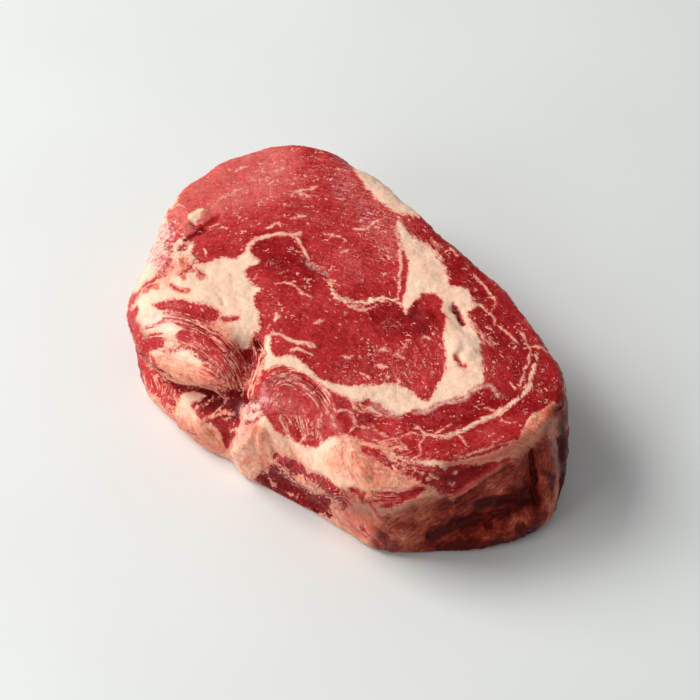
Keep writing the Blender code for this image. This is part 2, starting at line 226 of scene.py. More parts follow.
SIDE_MARKS = (
    ("fat on the far shoulder", FAT, None, (
        (338, 150), (346, 158), (351, 165), (356, 175), (364, 186), (372, 196), (383, 205.5), (394, 212),
        (399, 215), (404, 214), (412, 218), (420, 210), (390, 150))),
    ("fat along the left shoulder", FAT, None, (
        (180, 196), (176, 205), (172, 214), (168, 226), (170, 238), (168, 248), (170, 258), (160, 272),
        (148, 282), (138, 292), (128, 290), (128, 250), (150, 205))),
    ("torn fat by the left wedge", FAT, None, (
        (170, 250), (175, 244), (180, 239), (185, 238), (190, 243), (194, 240), (195, 246), (192, 252),
        (196, 259), (200, 263), (190, 266), (178, 264), (168, 272), (160, 276), (164, 268), (172, 261),
        (168, 256))),
    ("lean inside the torn fat", LEAN, 1.2, ((181, 249), (184, 246), (187, 243))),
    ("red spot in the membrane", LEAN, 2.0, ((161, 256), (165, 258), (168, 261))),
    ("lean above the membrane", LEAN, None, (
        (168, 211), (174, 209), (180, 210), (184, 214), (188, 219), (190, 226), (190, 233), (185, 238),
        (180, 234), (180, 226), (174, 221), (167, 219))),
    ("tag of fat", FAT, None, (
        (188, 215), (192, 212), (198, 208.5), (206, 209), (209, 212), (205, 217), (200, 221), (196, 224),
        (190, 222))),
    ("fibres below the tag", FAT, 1.3, ((209, 226), (214, 226), (220, 225))),
    ("bits above the wedge", FAT, 1.5, ((204, 248), (205, 252), (206, 256))),
    ("fringe of the tag", FAT, 1.2, ((186, 211), (188, 215), (191, 218))),
    ("curl of fat at the left", FAT, 1.2, ((168, 228), (172, 224), (177, 222), (182, 224))),
    ("second curl of fat", FAT, 1.2, ((170, 240), (173, 234), (179, 231), (183, 234))),
    ("third curl of fat", FAT, 1.4, ((171, 207), (176, 206), (181, 205), (186, 208))),
    ("tip of the flap", LEAN, None, (
        (122, 310), (127, 306), (134, 304), (138, 310), (135, 318), (139, 328), (146, 336), (142, 344),
        (134, 340), (126, 333), (121, 322))),
    ("fat on the tip of the flap", FAT, 1.6, ((127, 312), (132, 308), (136, 303))),
    ("front of the flap", LEAN, None, (
        (134, 322), (146, 328), (160, 323), (178, 320), (198, 328), (218, 342), (236, 358), (246, 372),
        (250, 390), (244, 398), (230, 392), (214, 388), (196, 388), (180, 386), (164, 374), (150, 360),
        (138, 345))),
    ("cream lobe on the flap", FAT, None, (
        (150.6, 350), (159, 347), (171.2, 353), (178.9, 349), (189.6, 348.5), (195.7, 354), (201.8, 359),
        (209.5, 364), (217.1, 368.3), (226.3, 377.5), (232, 384), (240, 391), (226, 391), (213, 388),
        (200, 388), (186, 386), (174, 380), (162, 371), (153, 361))),
    ("pale fat behind the lean blots", FAT, None, (
        (140, 322), (150, 326), (160, 323), (172, 321), (184, 325), (190, 331), (196, 342), (190, 348),
        (178, 349), (168, 350), (158, 347), (148, 345), (141, 334))),
    ("left lean blot on the flap", LEAN, None, (
        (145, 343), (149, 337), (156, 334.5), (162, 337), (164, 343), (158, 348), (150, 348))),
    ("right lean blot on the flap", LEAN, None, (
        (175, 337), (179, 331), (186, 329.5), (192, 333), (193.5, 341), (188, 345.5), (180, 344))),
    ("lean at the left foot", LEAN, None, (
        (132, 344), (140, 346), (149, 350), (156, 362), (157, 368), (151, 372), (151, 384), (156, 394),
        (148, 392), (140, 386), (132, 374), (129, 356))),
    ("pale line down the left foot", FAT, 1.2, ((150, 354), (151, 362), (152, 370))),
    ("pale streak on the left foot", FAT, 0.9, ((140, 378), (143, 382), (147, 386))),
    ("red between the foot's lobes", LEAN, None, (
        (158, 369), (168, 378), (180, 385), (190, 389), (186, 394), (181, 398), (176, 402), (176, 412),
        (178, 420), (170, 412), (163, 402), (156, 392), (152, 382), (152, 374))),
    ("pink lump under the lip", FAT, None, ((154, 376), (158, 373), (161, 377), (160, 382), (155, 383))),
    ("cream lump under the lip", FAT, None, ((162, 375), (166, 374), (168, 379), (166, 382), (162, 380))),
    ("bits among the red", FAT, 1.2, ((158, 386), (163, 390), (166, 395), (170, 400))),
    ("more bits among the red", FAT, 1.0, ((168, 386), (173, 390), (174, 395))),
    ("outer bits among the red", FAT, 1.0, ((164, 399), (168, 405), (172, 410), (175, 416))),
    ("dark lean of the hollow", LEAN, None, (
        (196, 390), (206, 389), (220, 391), (235, 393), (244, 396), (249, 401), (244, 408), (239, 414),
        (230, 412), (219, 413), (210, 417), (204, 414), (199, 410), (194, 406), (198, 402), (204, 398),
        (202, 394))),
    ("pale thread over the hollow", FAT, 0.9, ((196, 410), (200, 407), (206, 404))),
    ("second thread over the hollow", FAT, 0.8, ((209, 401), (214, 398), (219, 397))),
    ("third thread over the hollow", FAT, 0.8, ((226, 396), (226.5, 399), (226, 403))),
    ("fourth thread over the hollow", FAT, 0.7, ((216, 411), (220, 408), (223, 405))),
    ("lower lean of the hollow", LEAN, None, (
        (213, 420), (221, 414), (232, 413), (241, 416), (240, 424), (235, 430), (237, 436), (232, 442),
        (228, 449), (224, 442), (221, 433), (216, 427))),
    ("pink thread in the lower lean", FAT, 0.9, ((229, 433), (234, 430), (239, 429))),
    ("flecks in the lower lean", FAT, 0.8, ((222, 418), (226, 420), (230, 417))),
    ("orange ridge in the hollow", FAT, 2.2, ((202, 421), (208, 418), (215, 415.5), (225, 412), (235, 413))),
    ("fat lobe at the foot", FAT, None, (
        (175, 403), (179, 398), (185, 392), (192, 391), (200, 393), (205, 397), (200, 402), (193, 405),
        (196, 411), (201, 417), (206, 422), (211, 426), (216, 431), (220, 438), (221, 450), (205, 450),
        (188, 438), (176, 424), (173, 412))),
    ("red stain on the lobe", LEAN, 1.3, ((189, 430), (194, 433), (199, 434))),
    ("pink flesh beside the notch", FAT, None, (
        (243, 408), (250, 406), (258, 409), (264, 415), (265, 421), (258, 424), (250, 428), (244, 435),
        (238, 441), (233, 447), (232, 441), (238, 433), (241, 424), (241, 414))),
    ("dark crack beside the notch", LEAN, 0.9, CRACK),
    ("red under the pink flesh", LEAN, 1.6, ((246, 425), (253, 422), (260, 420), (265, 419))),
    ("pink membrane over the notch", FAT, 3.0, ((240, 412), (247, 408), (255, 406), (262, 407))),
    ("right lip of the notch", FAT, 3.2, (
        (266, 338), (266, 350), (263, 362), (258, 374), (253, 386), (250, 396))),
    ("thin veins over the front", FAT, 1.0, ((272, 390), (284, 384), (298, 386), (312, 394), (322, 404))),
    ("vein down the front", FAT, 1.0, ((326, 398), (323, 408), (321, 418), (322, 428))),
    ("second vein down the front", FAT, 0.9, ((296, 418), (302, 426), (304, 434), (300, 442))),
    ("third vein down the front", FAT, 0.9, ((276, 416), (284, 424), (288, 434), (292, 438))),
    ("strip of fat by the band", FAT, 1.7, ((315, 381), (321, 387), (327, 393), (332, 398))),
    ("stem of the web", FAT, 1.6, (
        (327, 394), (329, 401), (327, 409), (330, 416), (334, 423), (338, 429), (341, 436))),
    ("arc of the web", FAT, 1.5, (
        (334, 404), (336, 411), (341, 409.5), (346, 410.5), (351, 414), (354.5, 418), (355, 424), (352, 429),
        (348, 433))),
    ("patch of the web", FAT, None, (
        (353, 403), (358, 408), (364, 409), (371, 406), (380, 411), (388, 417), (378, 415), (370, 411.5),
        (362, 412), (356, 411.5), (352, 408))),
    ("cross of the web", FAT, 1.3, ((352, 429), (356, 425.5), (361, 427), (367, 428), (373, 427))),
    ("arm of the web", FAT, 1.5, ((343, 396), (351, 399), (357, 403), (366, 407))),
    ("bright bit in the web", FAT, 1.7, ((355.5, 417), (357, 420), (357, 424))),
    ("band under the web", FAT, 2.6, (
        (328, 441), (336, 438.5), (344, 436), (352, 438.5), (362, 442), (372, 444.5), (382, 449))),
    ("vein under the cap's front", FAT, 1.2, (
        (372, 424), (376, 430), (382, 434), (390, 437.5), (398, 438), (404, 434.5), (412, 434), (424, 436))),
    ("line under that vein", FAT, 1.5, ((374, 439), (382, 441), (390, 444), (398, 448), (405, 453))),
    ("second line under the vein", FAT, 1.3, ((388, 440), (396, 441), (403, 445), (409, 451))),
    ("strands at the front's edge", FAT, 1.0, ((308, 420), (309, 428), (306, 436), (304, 441))),
    ("second strand at the edge", FAT, 0.8, ((313, 424), (312.5, 432), (313, 440))),
    ("third strand at the edge", FAT, 1.0, ((318, 418), (318, 428), (319, 438), (321, 443))),
    ("fat under the front rim", FAT, None, (
        (262, 416), (268, 418), (272, 423), (278.4, 431), (290.6, 437.1), (302.9, 443.3), (313.6, 446.3),
        (324.3, 441), (330, 437), (339.6, 435), (353.9, 437), (364, 443), (372, 446), (382.6, 441),
        (393.8, 450), (403.3, 456), (416.1, 459), (432, 460.5), (448, 460), (473, 452), (498, 445),
        (512, 440), (519, 439), (524, 425), (532, 416), (545, 407), (556, 403), (570, 420), (575, 530),
        (520, 560), (400, 560), (300, 520), (220, 470), (226, 452), (244.7, 435.6))),
    ("lean line under the cap", LEAN, 1.5, (
        (404, 452), (420, 457), (438, 459), (456, 458.5), (474, 455), (492, 450), (508, 444))),
    ("ragged strip of lean under the rim", LEAN, None, (
        (360, 446), (368, 446.5), (376, 448.5), (384, 453), (390, 460), (400, 461), (410, 464), (425.7, 466),
        (441.6, 468), (446, 474.4), (441.6, 482.3), (432, 486), (419.3, 481), (406, 476), (394, 468),
        (384, 463), (374, 457), (364, 453))),
    ("bits in the ragged strip", FAT, 1.0, ((389, 456), (395, 461), (402, 463), (410, 460))),
    ("more bits in the ragged strip", FAT, 0.8, ((404, 468), (410, 472), (418, 470), (424, 474))),
    ("bits at the strip's end", FAT, 0.9, ((428, 480), (434, 476), (440, 478))),
    ("dark strip of lean under the cap", LEAN, None, (
        (434, 484), (440, 474), (448, 467), (458, 465), (468, 464), (480, 463), (492, 461), (500, 460),
        (508, 456), (512, 459), (502, 465), (490, 471), (480, 479), (468, 487), (455, 493), (440, 493))),
    ("lump over the dark strip", FAT, 1.8, ((452, 474), (456, 472), (459, 471))),
    ("bits over the dark strip", FAT, 1.3, ((448, 482), (452, 484), (456, 481))),
    ("lean at the front foot", LEAN, None, (
        (260, 472), (267, 473), (270, 466), (276, 466), (283, 472), (292, 478), (298, 485), (306, 489),
        (312, 494), (322, 496), (330, 500), (332, 517), (322, 513), (310, 510), (300, 506), (288, 500),
        (276, 495), (266, 490), (256, 484))),
    ("upper strip at the front foot", LEAN, None, (
        (274, 454), (284, 457), (294, 462), (303, 468), (310, 473), (320, 477), (330, 482), (338, 489),
        (344, 497), (349, 507), (344, 510), (338, 502), (331, 495), (322, 488), (312, 482), (303, 477),
        (294, 474), (286, 467), (278, 460))),
    ("inner strip at the front foot", LEAN, 1.6, ((276, 456), (283, 464), (290, 472), (295, 478))),
    ("pale strand at the foot", FAT, 1.6, ((311, 489), (318, 490), (324, 493), (329, 498))),
    ("pale flecks at the foot", FAT, 1.0, ((268, 478), (272, 483), (276, 487))),
    ("more flecks at the foot", FAT, 0.8, ((286, 492), (292, 495), (297, 497))),
    ("pale end of the foot", FAT, 1.4, ((331, 497), (332, 504), (330, 512))),
    ("streak beside the foot", LEAN, 1.2, ((340, 490), (347, 498), (351, 506))),
    ("second streak beside the foot", LEAN, 1.4, (
        (352, 490), (360, 495), (368, 501), (374, 509), (380, 517))),
    ("third streak beside the foot", LEAN, 1.5, ((372, 493), (379, 498), (385, 504), (392, 506))),
    ("red patch low on the wall", LEAN, 2.0, ((363, 524), (364, 531), (366, 538))),
    ("purple streaks under the pad", LEAN, None, (
        (376, 495), (390, 493), (405, 491), (420, 487), (428, 489), (416, 496), (400, 502), (388, 507),
        (380, 503))),
)

# Soft washes, laid over the marks: name, what they change, how much, how far they reach in pixels, and points
WASHES = (
    # Painted light: the far left end of the eye lighter, towards the key light
    ("bright end of the eye", "tone_and_painted_shading", 0.34, 55, ((190, 200), (225, 180), (265, 165))),
    # Painted shade in the eye's hollow and in the pit by the right wedge
    ("dark hollow of the eye", "tone_and_painted_shading", -0.22, 26, ((262, 250), (285, 262), (300, 275))),
    ("dark pit by the right wedge", "tone_and_painted_shading", -0.24, 26, ((385, 310), (402, 318), (415, 322))),
    ("dark bay", "tone_and_painted_shading", -0.15, 20, ((420, 310), (430, 325))),
    # Painted shade: the front of the eye a little darker, away from the light
    ("front half of the eye", "tone_and_painted_shading", -0.05, 60, ((330, 340), (400, 350))),
    ("dark cap", "tone_and_painted_shading", -0.22, 34, ((440, 240), (470, 280), (500, 330), (530, 370), (545, 400))),
    # Painted shade: the cap's front darker, away from the light
    ("dark front of the cap", "tone_and_painted_shading", -0.2, 26, ((420, 420), (470, 410), (510, 400))),
    # Painted shade in the hollow under the flap
    ("dark hollow under the flap", "tone_and_painted_shading", -0.56, 20, HOLLOW),
    ("dark red strip under the rim", "tone_and_painted_shading", -0.2, 12, ((450, 485), (475, 472), (500, 462))),
    ("mottled red under the vein", "mingle", 0.6, 11, ((384, 444), (400, 450), (414, 457))),
    # Painted highlight: gloss on the web
    ("gloss on the web", "membrane_and_painted_sheen", 0.35, 12, ((340, 404), (352, 412), (362, 424), (372, 436))),
    ("dark strand in the fan", "tone_and_painted_shading", -0.22, 4, ((284, 424), (287, 434), (292, 443))),
    ("second dark strand in the fan", "tone_and_painted_shading", -0.22, 4, ((297, 420), (298, 432), (299, 443))),
    ("third dark strand in the fan", "tone_and_painted_shading", -0.22, 4, ((311, 414), (311, 426), (315, 440))),
    ("dark arc in front", "tone_and_painted_shading", -0.2, 5, ((270, 383), (284, 376), (300, 378), (314, 388), (324, 402))),
    ("dark islands in the web", "tone_and_painted_shading", -0.15, 8, ((340, 404), (346, 422), (364, 418), (378, 420))),
    ("pale front lean", "tone_and_painted_shading", 0.12, 22, ((285, 396), (305, 412), (330, 428))),
    # Painted shade in the notch
    ("dark lean in the notch", "tone_and_painted_shading", -0.3, 14, ((252, 350), (256, 362))),
    ("dark front foot", "tone_and_painted_shading", -0.38, 30, FRONT_FOOT),
    ("dark strips under the rim", "tone_and_painted_shading", -0.12, 20, ((380, 458), (430, 475), (480, 470))),
    ("dark strands of the flap", "tone_and_painted_shading", -0.2, 12, ((180, 316), (205, 330), (225, 350))),
    # Painted shade in the notch's slit
    ("dark slit of the notch", "tone_and_painted_shading", -0.6, 5, ((256, 342), (259, 348), (263, 353))),
    # Painted shade in the tear and in the line under it
    ("dark tear at the left", "tone_and_painted_shading", -0.32, 5, TEAR),
    ("dark line under the tear", "tone_and_painted_shading", -0.3, 4, UNDER_THE_TEAR),
    ("bright red by the tag", "tone_and_painted_shading", 0.12, 10, ((176, 214), (184, 226), (186, 234))),
    # Painted shade in the crevice of the wedge
    ("dark crevice in the wedge", "tone_and_painted_shading", -0.5, 4, ((455, 308), (459, 315), (464, 322))),
    # Painted shade in the wall's creases, belt, pit and curl, and along the base
    ("dark upright crease", "tone_and_painted_shading", -0.4, 3, UPRIGHT_CREASE),
    ("dark corner of the creases", "tone_and_painted_shading", -0.35, 12, ((516, 492), (526, 496), (534, 499))),
    ("dark slanting crease", "tone_and_painted_shading", -0.4, 7, SLANTING_CREASE),
    ("dark line below it", "tone_and_painted_shading", -0.4, 5, LOW_CREASE),
    ("dark belt of the wall", "tone_and_painted_shading", -0.34, 8, BELT),
    ("dark pit of the wall", "tone_and_painted_shading", -0.5, 5, ((487, 525), (490, 523))),
    ("dark curl on the cap end", "tone_and_painted_shading", -0.35, 4, CURL),
    ("dark edge of the base", "tone_and_painted_shading", -0.4, 7, ((440, 546), (470, 546), (500, 544), (520, 540))),
    ("light block of the cap end", "tone_and_painted_shading", 0.12, 10, ((541, 462), (543, 485), (544, 505))),
    # Painted highlight on the cap end's lit rim
    ("light rim of the cap end", "tone_and_painted_shading", 0.4, 5, ((559, 476), (557, 492), (552, 507), (547, 522))),
    ("light band of the wall", "tone_and_painted_shading", 0.2, 14, ((512, 462), (500, 478), (492, 492))),
    # Painted highlight on the crest by the red strip
    ("light crest by the red strip", "tone_and_painted_shading", 0.35, 5, STRIP_CREST),
    ("light line under the belt", "tone_and_painted_shading", 0.15, 7, ((506, 528), (516, 524), (526, 520))),
    # Painted shade in the fold at the base and the valley beside the cap end
    ("dark fold at the base", "tone_and_painted_shading", -0.6, 7, BASE_FOLD),
    ("dark valley by the cap end", "tone_and_painted_shading", -0.7, 5, (
        (561, 425), (562, 445), (562, 470), (561, 490), (557, 504))),
    ("grey strip of the cap end", "silver", 0.55, 6, ((551, 420), (553, 438), (556, 455), (559, 470))),
    # Painted shade along the edge under the fat pad
    ("dark line under the fat pad", "tone_and_painted_shading", -0.12, 8, ((350, 494), (380, 500), (410, 500), (430, 488))),
    ("pale patch low on the wall", "tone_and_painted_shading", 0.1, 16, ((490, 530), (512, 524), (524, 518))),
    ("pale cap end", "tone_and_painted_shading", 0.2, 14, ((548, 425), (552, 460), (550, 500))),
    ("pale wall at the left", "tone_and_painted_shading", 0.08, 26, ((395, 520), (420, 515), (440, 505))),
    ("strands of the flap", "mingle", 1.0, 12, (
        (172, 316), (190, 322), (210, 332), (228, 346), (240, 362), (247, 384))),
    ("lower strands of the flap", "mingle", 1.0, 14, ((196, 345), (212, 356), (226, 368), (240, 384))),
    ("strands in the notch", "mingle", 0.9, 12, ((256, 340), (258, 358), (252, 378), (247, 394))),
    ("fibres in front of the band", "mingle", 0.9, 13, ((275, 376), (292, 380), (310, 390), (325, 404))),
    ("mottled strands in front", "mingle", 0.25, 12, ((304, 420), (310, 432), (322, 436))),
    # Painted highlights: gloss and white glints on the arcs, band, web, foot, rim and eye
    ("gloss on the arcs", "membrane_and_painted_sheen", 0.55, 8, ((266, 386), (282, 380), (300, 384), (314, 394))),
    ("white gloss on the band", "membrane_and_painted_sheen", 0.6, 5, ((262, 400), (270, 402), (278, 405))),
    ("gloss by the web", "membrane_and_painted_sheen", 0.6, 6, ((326, 412), (332, 420), (338, 430))),
    ("gloss on the foot", "membrane_and_painted_sheen", 0.2, 12, ((275, 458), (300, 470), (325, 484))),
    ("gloss under the rim", "membrane_and_painted_sheen", 0.35, 9, ((385, 455), (410, 466), (435, 474))),
    ("gloss at the back of the eye", "membrane_and_painted_sheen", 0.38, 26, ((345, 182), (370, 208), (394, 244))),
    ("gloss over the eye", "membrane_and_painted_sheen", 0.1, 40, ((300, 200), (340, 230), (370, 262))),
    ("gloss in the middle", "membrane_and_painted_sheen", 0.25, 14, ((345, 255), (352, 266), (345, 280))),
    ("mottled web", "mingle", 0.45, 9, ((360, 412), (370, 416), (380, 420))),
    ("mottled cream lobe", "mingle", 0.35, 16, CREAM_LOBE),
    ("warm cream lobe", "blush", 0.4, 16, CREAM_LOBE),
    ("orange ridge of the hollow", "blush", 0.5, 6, HOLLOW_RIDGE),
    ("pink beside the notch", "membrane_and_painted_sheen", 0.7, 9, ((246, 410), (254, 414), (250, 422), (242, 434), (236, 442))),
    # Painted highlight at the wall's foot
    ("white gloss at the wall's foot", "membrane_and_painted_sheen", 0.45, 9, ((342, 512), (352, 517), (360, 521))),
    # Painted shade in the hollow behind the ridge
    ("dark hollow behind the ridge", "tone_and_painted_shading", -0.2, 16, ((222, 420), (230, 428), (228, 440))),
    ("fibres over the front rim", "mingle", 0.5, 12, ((276, 400), (290, 415), (305, 425), (318, 430))),
    ("fibres fanning down the front", "mingle", 0.3, 15, ((284, 420), (296, 430), (312, 434))),
    ("lobe turning to strands", "mingle", 0.6, 12, ((205, 372), (220, 382), (236, 389))),
    ("mottled top of the flap", "mingle", 0.55, 11, ((150, 332), (166, 340), (184, 344))),
    ("loose left edge of the wedge", "mingle", 0.4, 9, ((184, 262), (176, 268), (192, 268))),
    ("fibres in the cap's top", "mingle", 0.45, 12, ((408, 218), (424, 234), (440, 254), (452, 274))),
    ("cap beside the wedge", "mingle", 0.4, 12, ((478, 320), (488, 345), (492, 370))),
    ("streaks on the left foot", "mingle", 0.7, 12, ((140, 352), (143, 368), (148, 384))),
    ("streaks beside the front foot", "mingle", 0.8, 10, ((340, 492), (365, 498), (395, 498))),
    ("blotches below the lip", "mingle", 0.8, 12, ((162, 385), (172, 400))),
    ("ragged strip", "mingle", 0.55, 9, ((372, 455), (400, 466), (430, 474))),
    ("torn end", "rough", 0.7, 9, ((172, 222), (179, 231), (186, 237))),
    ("torn fat", "rough", 0.7, 12, ((168, 245), (180, 252), (190, 258))),
    ("gouge", "rough", 0.8, 6, ((307, 263), (316, 268), (325, 272), (331, 275))),
    ("ragged bits in the hollow", "rough", 0.4, 16, ((210, 400), (235, 410), (248, 412))),
    ("ragged bits at the foot", "rough", 0.55, 24, ((270, 472), (296, 488), (325, 507))),
    ("strands at the foot", "mingle", 0.35, 20, ((285, 470), (305, 484), (330, 500))),
    ("ragged edges of the long seam", "rough", 0.35, 7, (
        (332, 284), (334, 294), (343, 300), (362, 303), (380, 300), (399, 303))),
    ("red line in the membrane", "blush", 1.3, 3.5, ((160, 272), (166, 267), (172, 262))),
    ("slit in the wedge's edge", "blush", 1.3, 3.2, ((171, 285), (178, 288), (183, 290), (188, 291))),
    ("second slit in the edge", "blush", 1.3, 4, ((146, 290), (151, 287), (157, 287))),
    ("nick in the wedge", "blush", 1.2, 4, ((183, 274), (183.5, 278))),
    ("second nick in the wedge", "blush", 1.2, 4, ((199, 275), (201, 277))),
    ("third nick in the wedge", "blush", 1.2, 3.5, ((182, 260), (183, 265))),
    ("fourth nick in the wedge", "blush", 1.0, 3.5, ((189, 269), (192, 271))),
    ("warm end of the wedge", "blush", 0.4, 16, ((212, 318), (222, 334), (230, 346))),
    ("warm side of the tag", "blush", 0.9, 4, ((203, 217), (206, 213))),
    ("reddish low fat", "blush", 0.4, 16, ((345, 520), (366, 530), (384, 544))),
    ("reddish ridge", "blush", 0.35, 12, ((258, 430), (262, 450), (270, 462))),
    ("reddish lobe at the foot", "blush", 0.35, 14, ((190, 425), (206, 438), (216, 446))),
    # Painted shade under the flap's lip
    ("dark lip's underside", "tone_and_painted_shading", -0.35, 9, ((165, 378), (190, 389), (215, 391), (240, 396))),
    ("mottled foot of the wall", "mingle", 0.45, 16, WALL_FOOT),
    ("warm foot of the wall", "blush", 0.35, 16, WALL_FOOT),
    ("ragged bits under the rim", "rough", 0.7, 9, ((390, 463), (415, 474), (440, 478))),
    ("pink membrane at the left", "membrane_and_painted_sheen", 1.0, 20, ((160, 232), (161, 250), (164, 262))),
    ("pink sheen at the gouge", "membrane_and_painted_sheen", 0.9, 6, ((309, 263), (318, 268), (327, 273))),
    ("pale sheen on the flap", "membrane_and_painted_sheen", 0.7, 12, ((150, 320), (168, 318), (180, 322))),
    # Pink membrane, with painted pale gloss bands
    ("pink sheen in front", "membrane_and_painted_sheen", 0.5, 12, ((262, 396), (275, 402), (290, 406), (300, 412))),
    ("pink over the notch", "membrane_and_painted_sheen", 0.6, 10, ((240, 410), (255, 406), (262, 412))),
    ("pink left wall", "membrane_and_painted_sheen", 0.5, 20, ((146, 235), (142, 262), (138, 285))),
    ("glassy spot on the flap", "silver", 0.8, 5, ((165, 348), (168, 351))),
    ("silverskin", "silver", 1.0, 3, SILVERSKIN),
    ("silverskin at the band's front", "silver", 0.7, 6, ((374, 404), (388, 412), (398, 417))),
    ("film on the tip of the flap", "film", 0.7, 14, ((127, 316), (134, 328), (142, 340))),
    ("film in front of the foot", "film", 0.55, 16, ((350, 500), (380, 512))),
    ("warm rim", "blush", 0.8, 9, ((450, 466), (480, 458), (510, 446), (530, 430), (550, 410))),
    ("warm edge of the left wedge", "blush", 0.3, 12, ((185, 262), (172, 272), (160, 282))),
    ("warm web of fat", "blush", 0.5, 26, ((335, 420), (360, 430), (380, 440))),
    ("warm fat pad", "blush", 0.55, 26, ((345, 460), (385, 478), (415, 485))),
    # Marbling, and painted white glints of wet fibres drawn as pale flecks
    ("fine marbling and painted glints at the back", "marble", 1.0, 34, ((345, 180), (370, 205), (390, 235))),
    ("fine marbling at the top", "marble", 0.5, 40, ((250, 190), (300, 170))),
    ("marbling by the band", "marble", 0.8, 24, ((350, 372), (385, 365), (420, 375), (430, 350))),
    ("clear lean in the ragged strip", "marble", -0.7, 14, ((420, 474), (450, 484), (480, 474), (505, 462))),
    ("clear lean in the hollow", "marble", -0.6, 20, HOLLOW),
    ("clear lean of the front foot", "marble", -0.6, 30, FRONT_FOOT),
    ("clear lean in the middle", "marble", -0.6, 30, ((300, 330), (335, 335))),
    ("clear lean at the top left", "marble", -0.3, 26, ((205, 185), (225, 175))),
)

# Washes over whole areas: name, what they change, how much, how softly they end in pixels, and the outline
WASHED_AREAS = (
    ("film on the wall", "film", 1.0, 12, (
        (372, 548), (376, 530), (386, 514), (404, 505), (430, 497), (458, 488), (480, 476), (500, 462),
        (516, 452), (533, 440), (545, 424), (556, 402), (580, 400), (580, 530), (520, 565), (400, 565))),
    # Painted shade: the side wall darker towards the right, turned from the key light
    ("dark wall", "tone_and_painted_shading", -0.18, 16, (
        (440, 500), (480, 485), (520, 460), (545, 440), (580, 440), (580, 530), (520, 565), (430, 565))),
    ("red between the lobes", "blush", 0.3, 12, ((150, 370), (180, 400), (200, 440), (225, 450), (180, 450))),
    ("cap's marbling", "marble", 0.15, 12, (
        (412, 220), (440, 240), (480, 275), (520, 330), (555, 370), (560, 400), (520, 430), (470, 455),
        (400, 455), (400, 425), (470, 400), (500, 380), (480, 320), (450, 260))),
    ("pink in the eye's end", "marble", -0.1, 20, (
        (170, 210), (210, 160), (260, 150), (250, 200), (200, 230))),
)

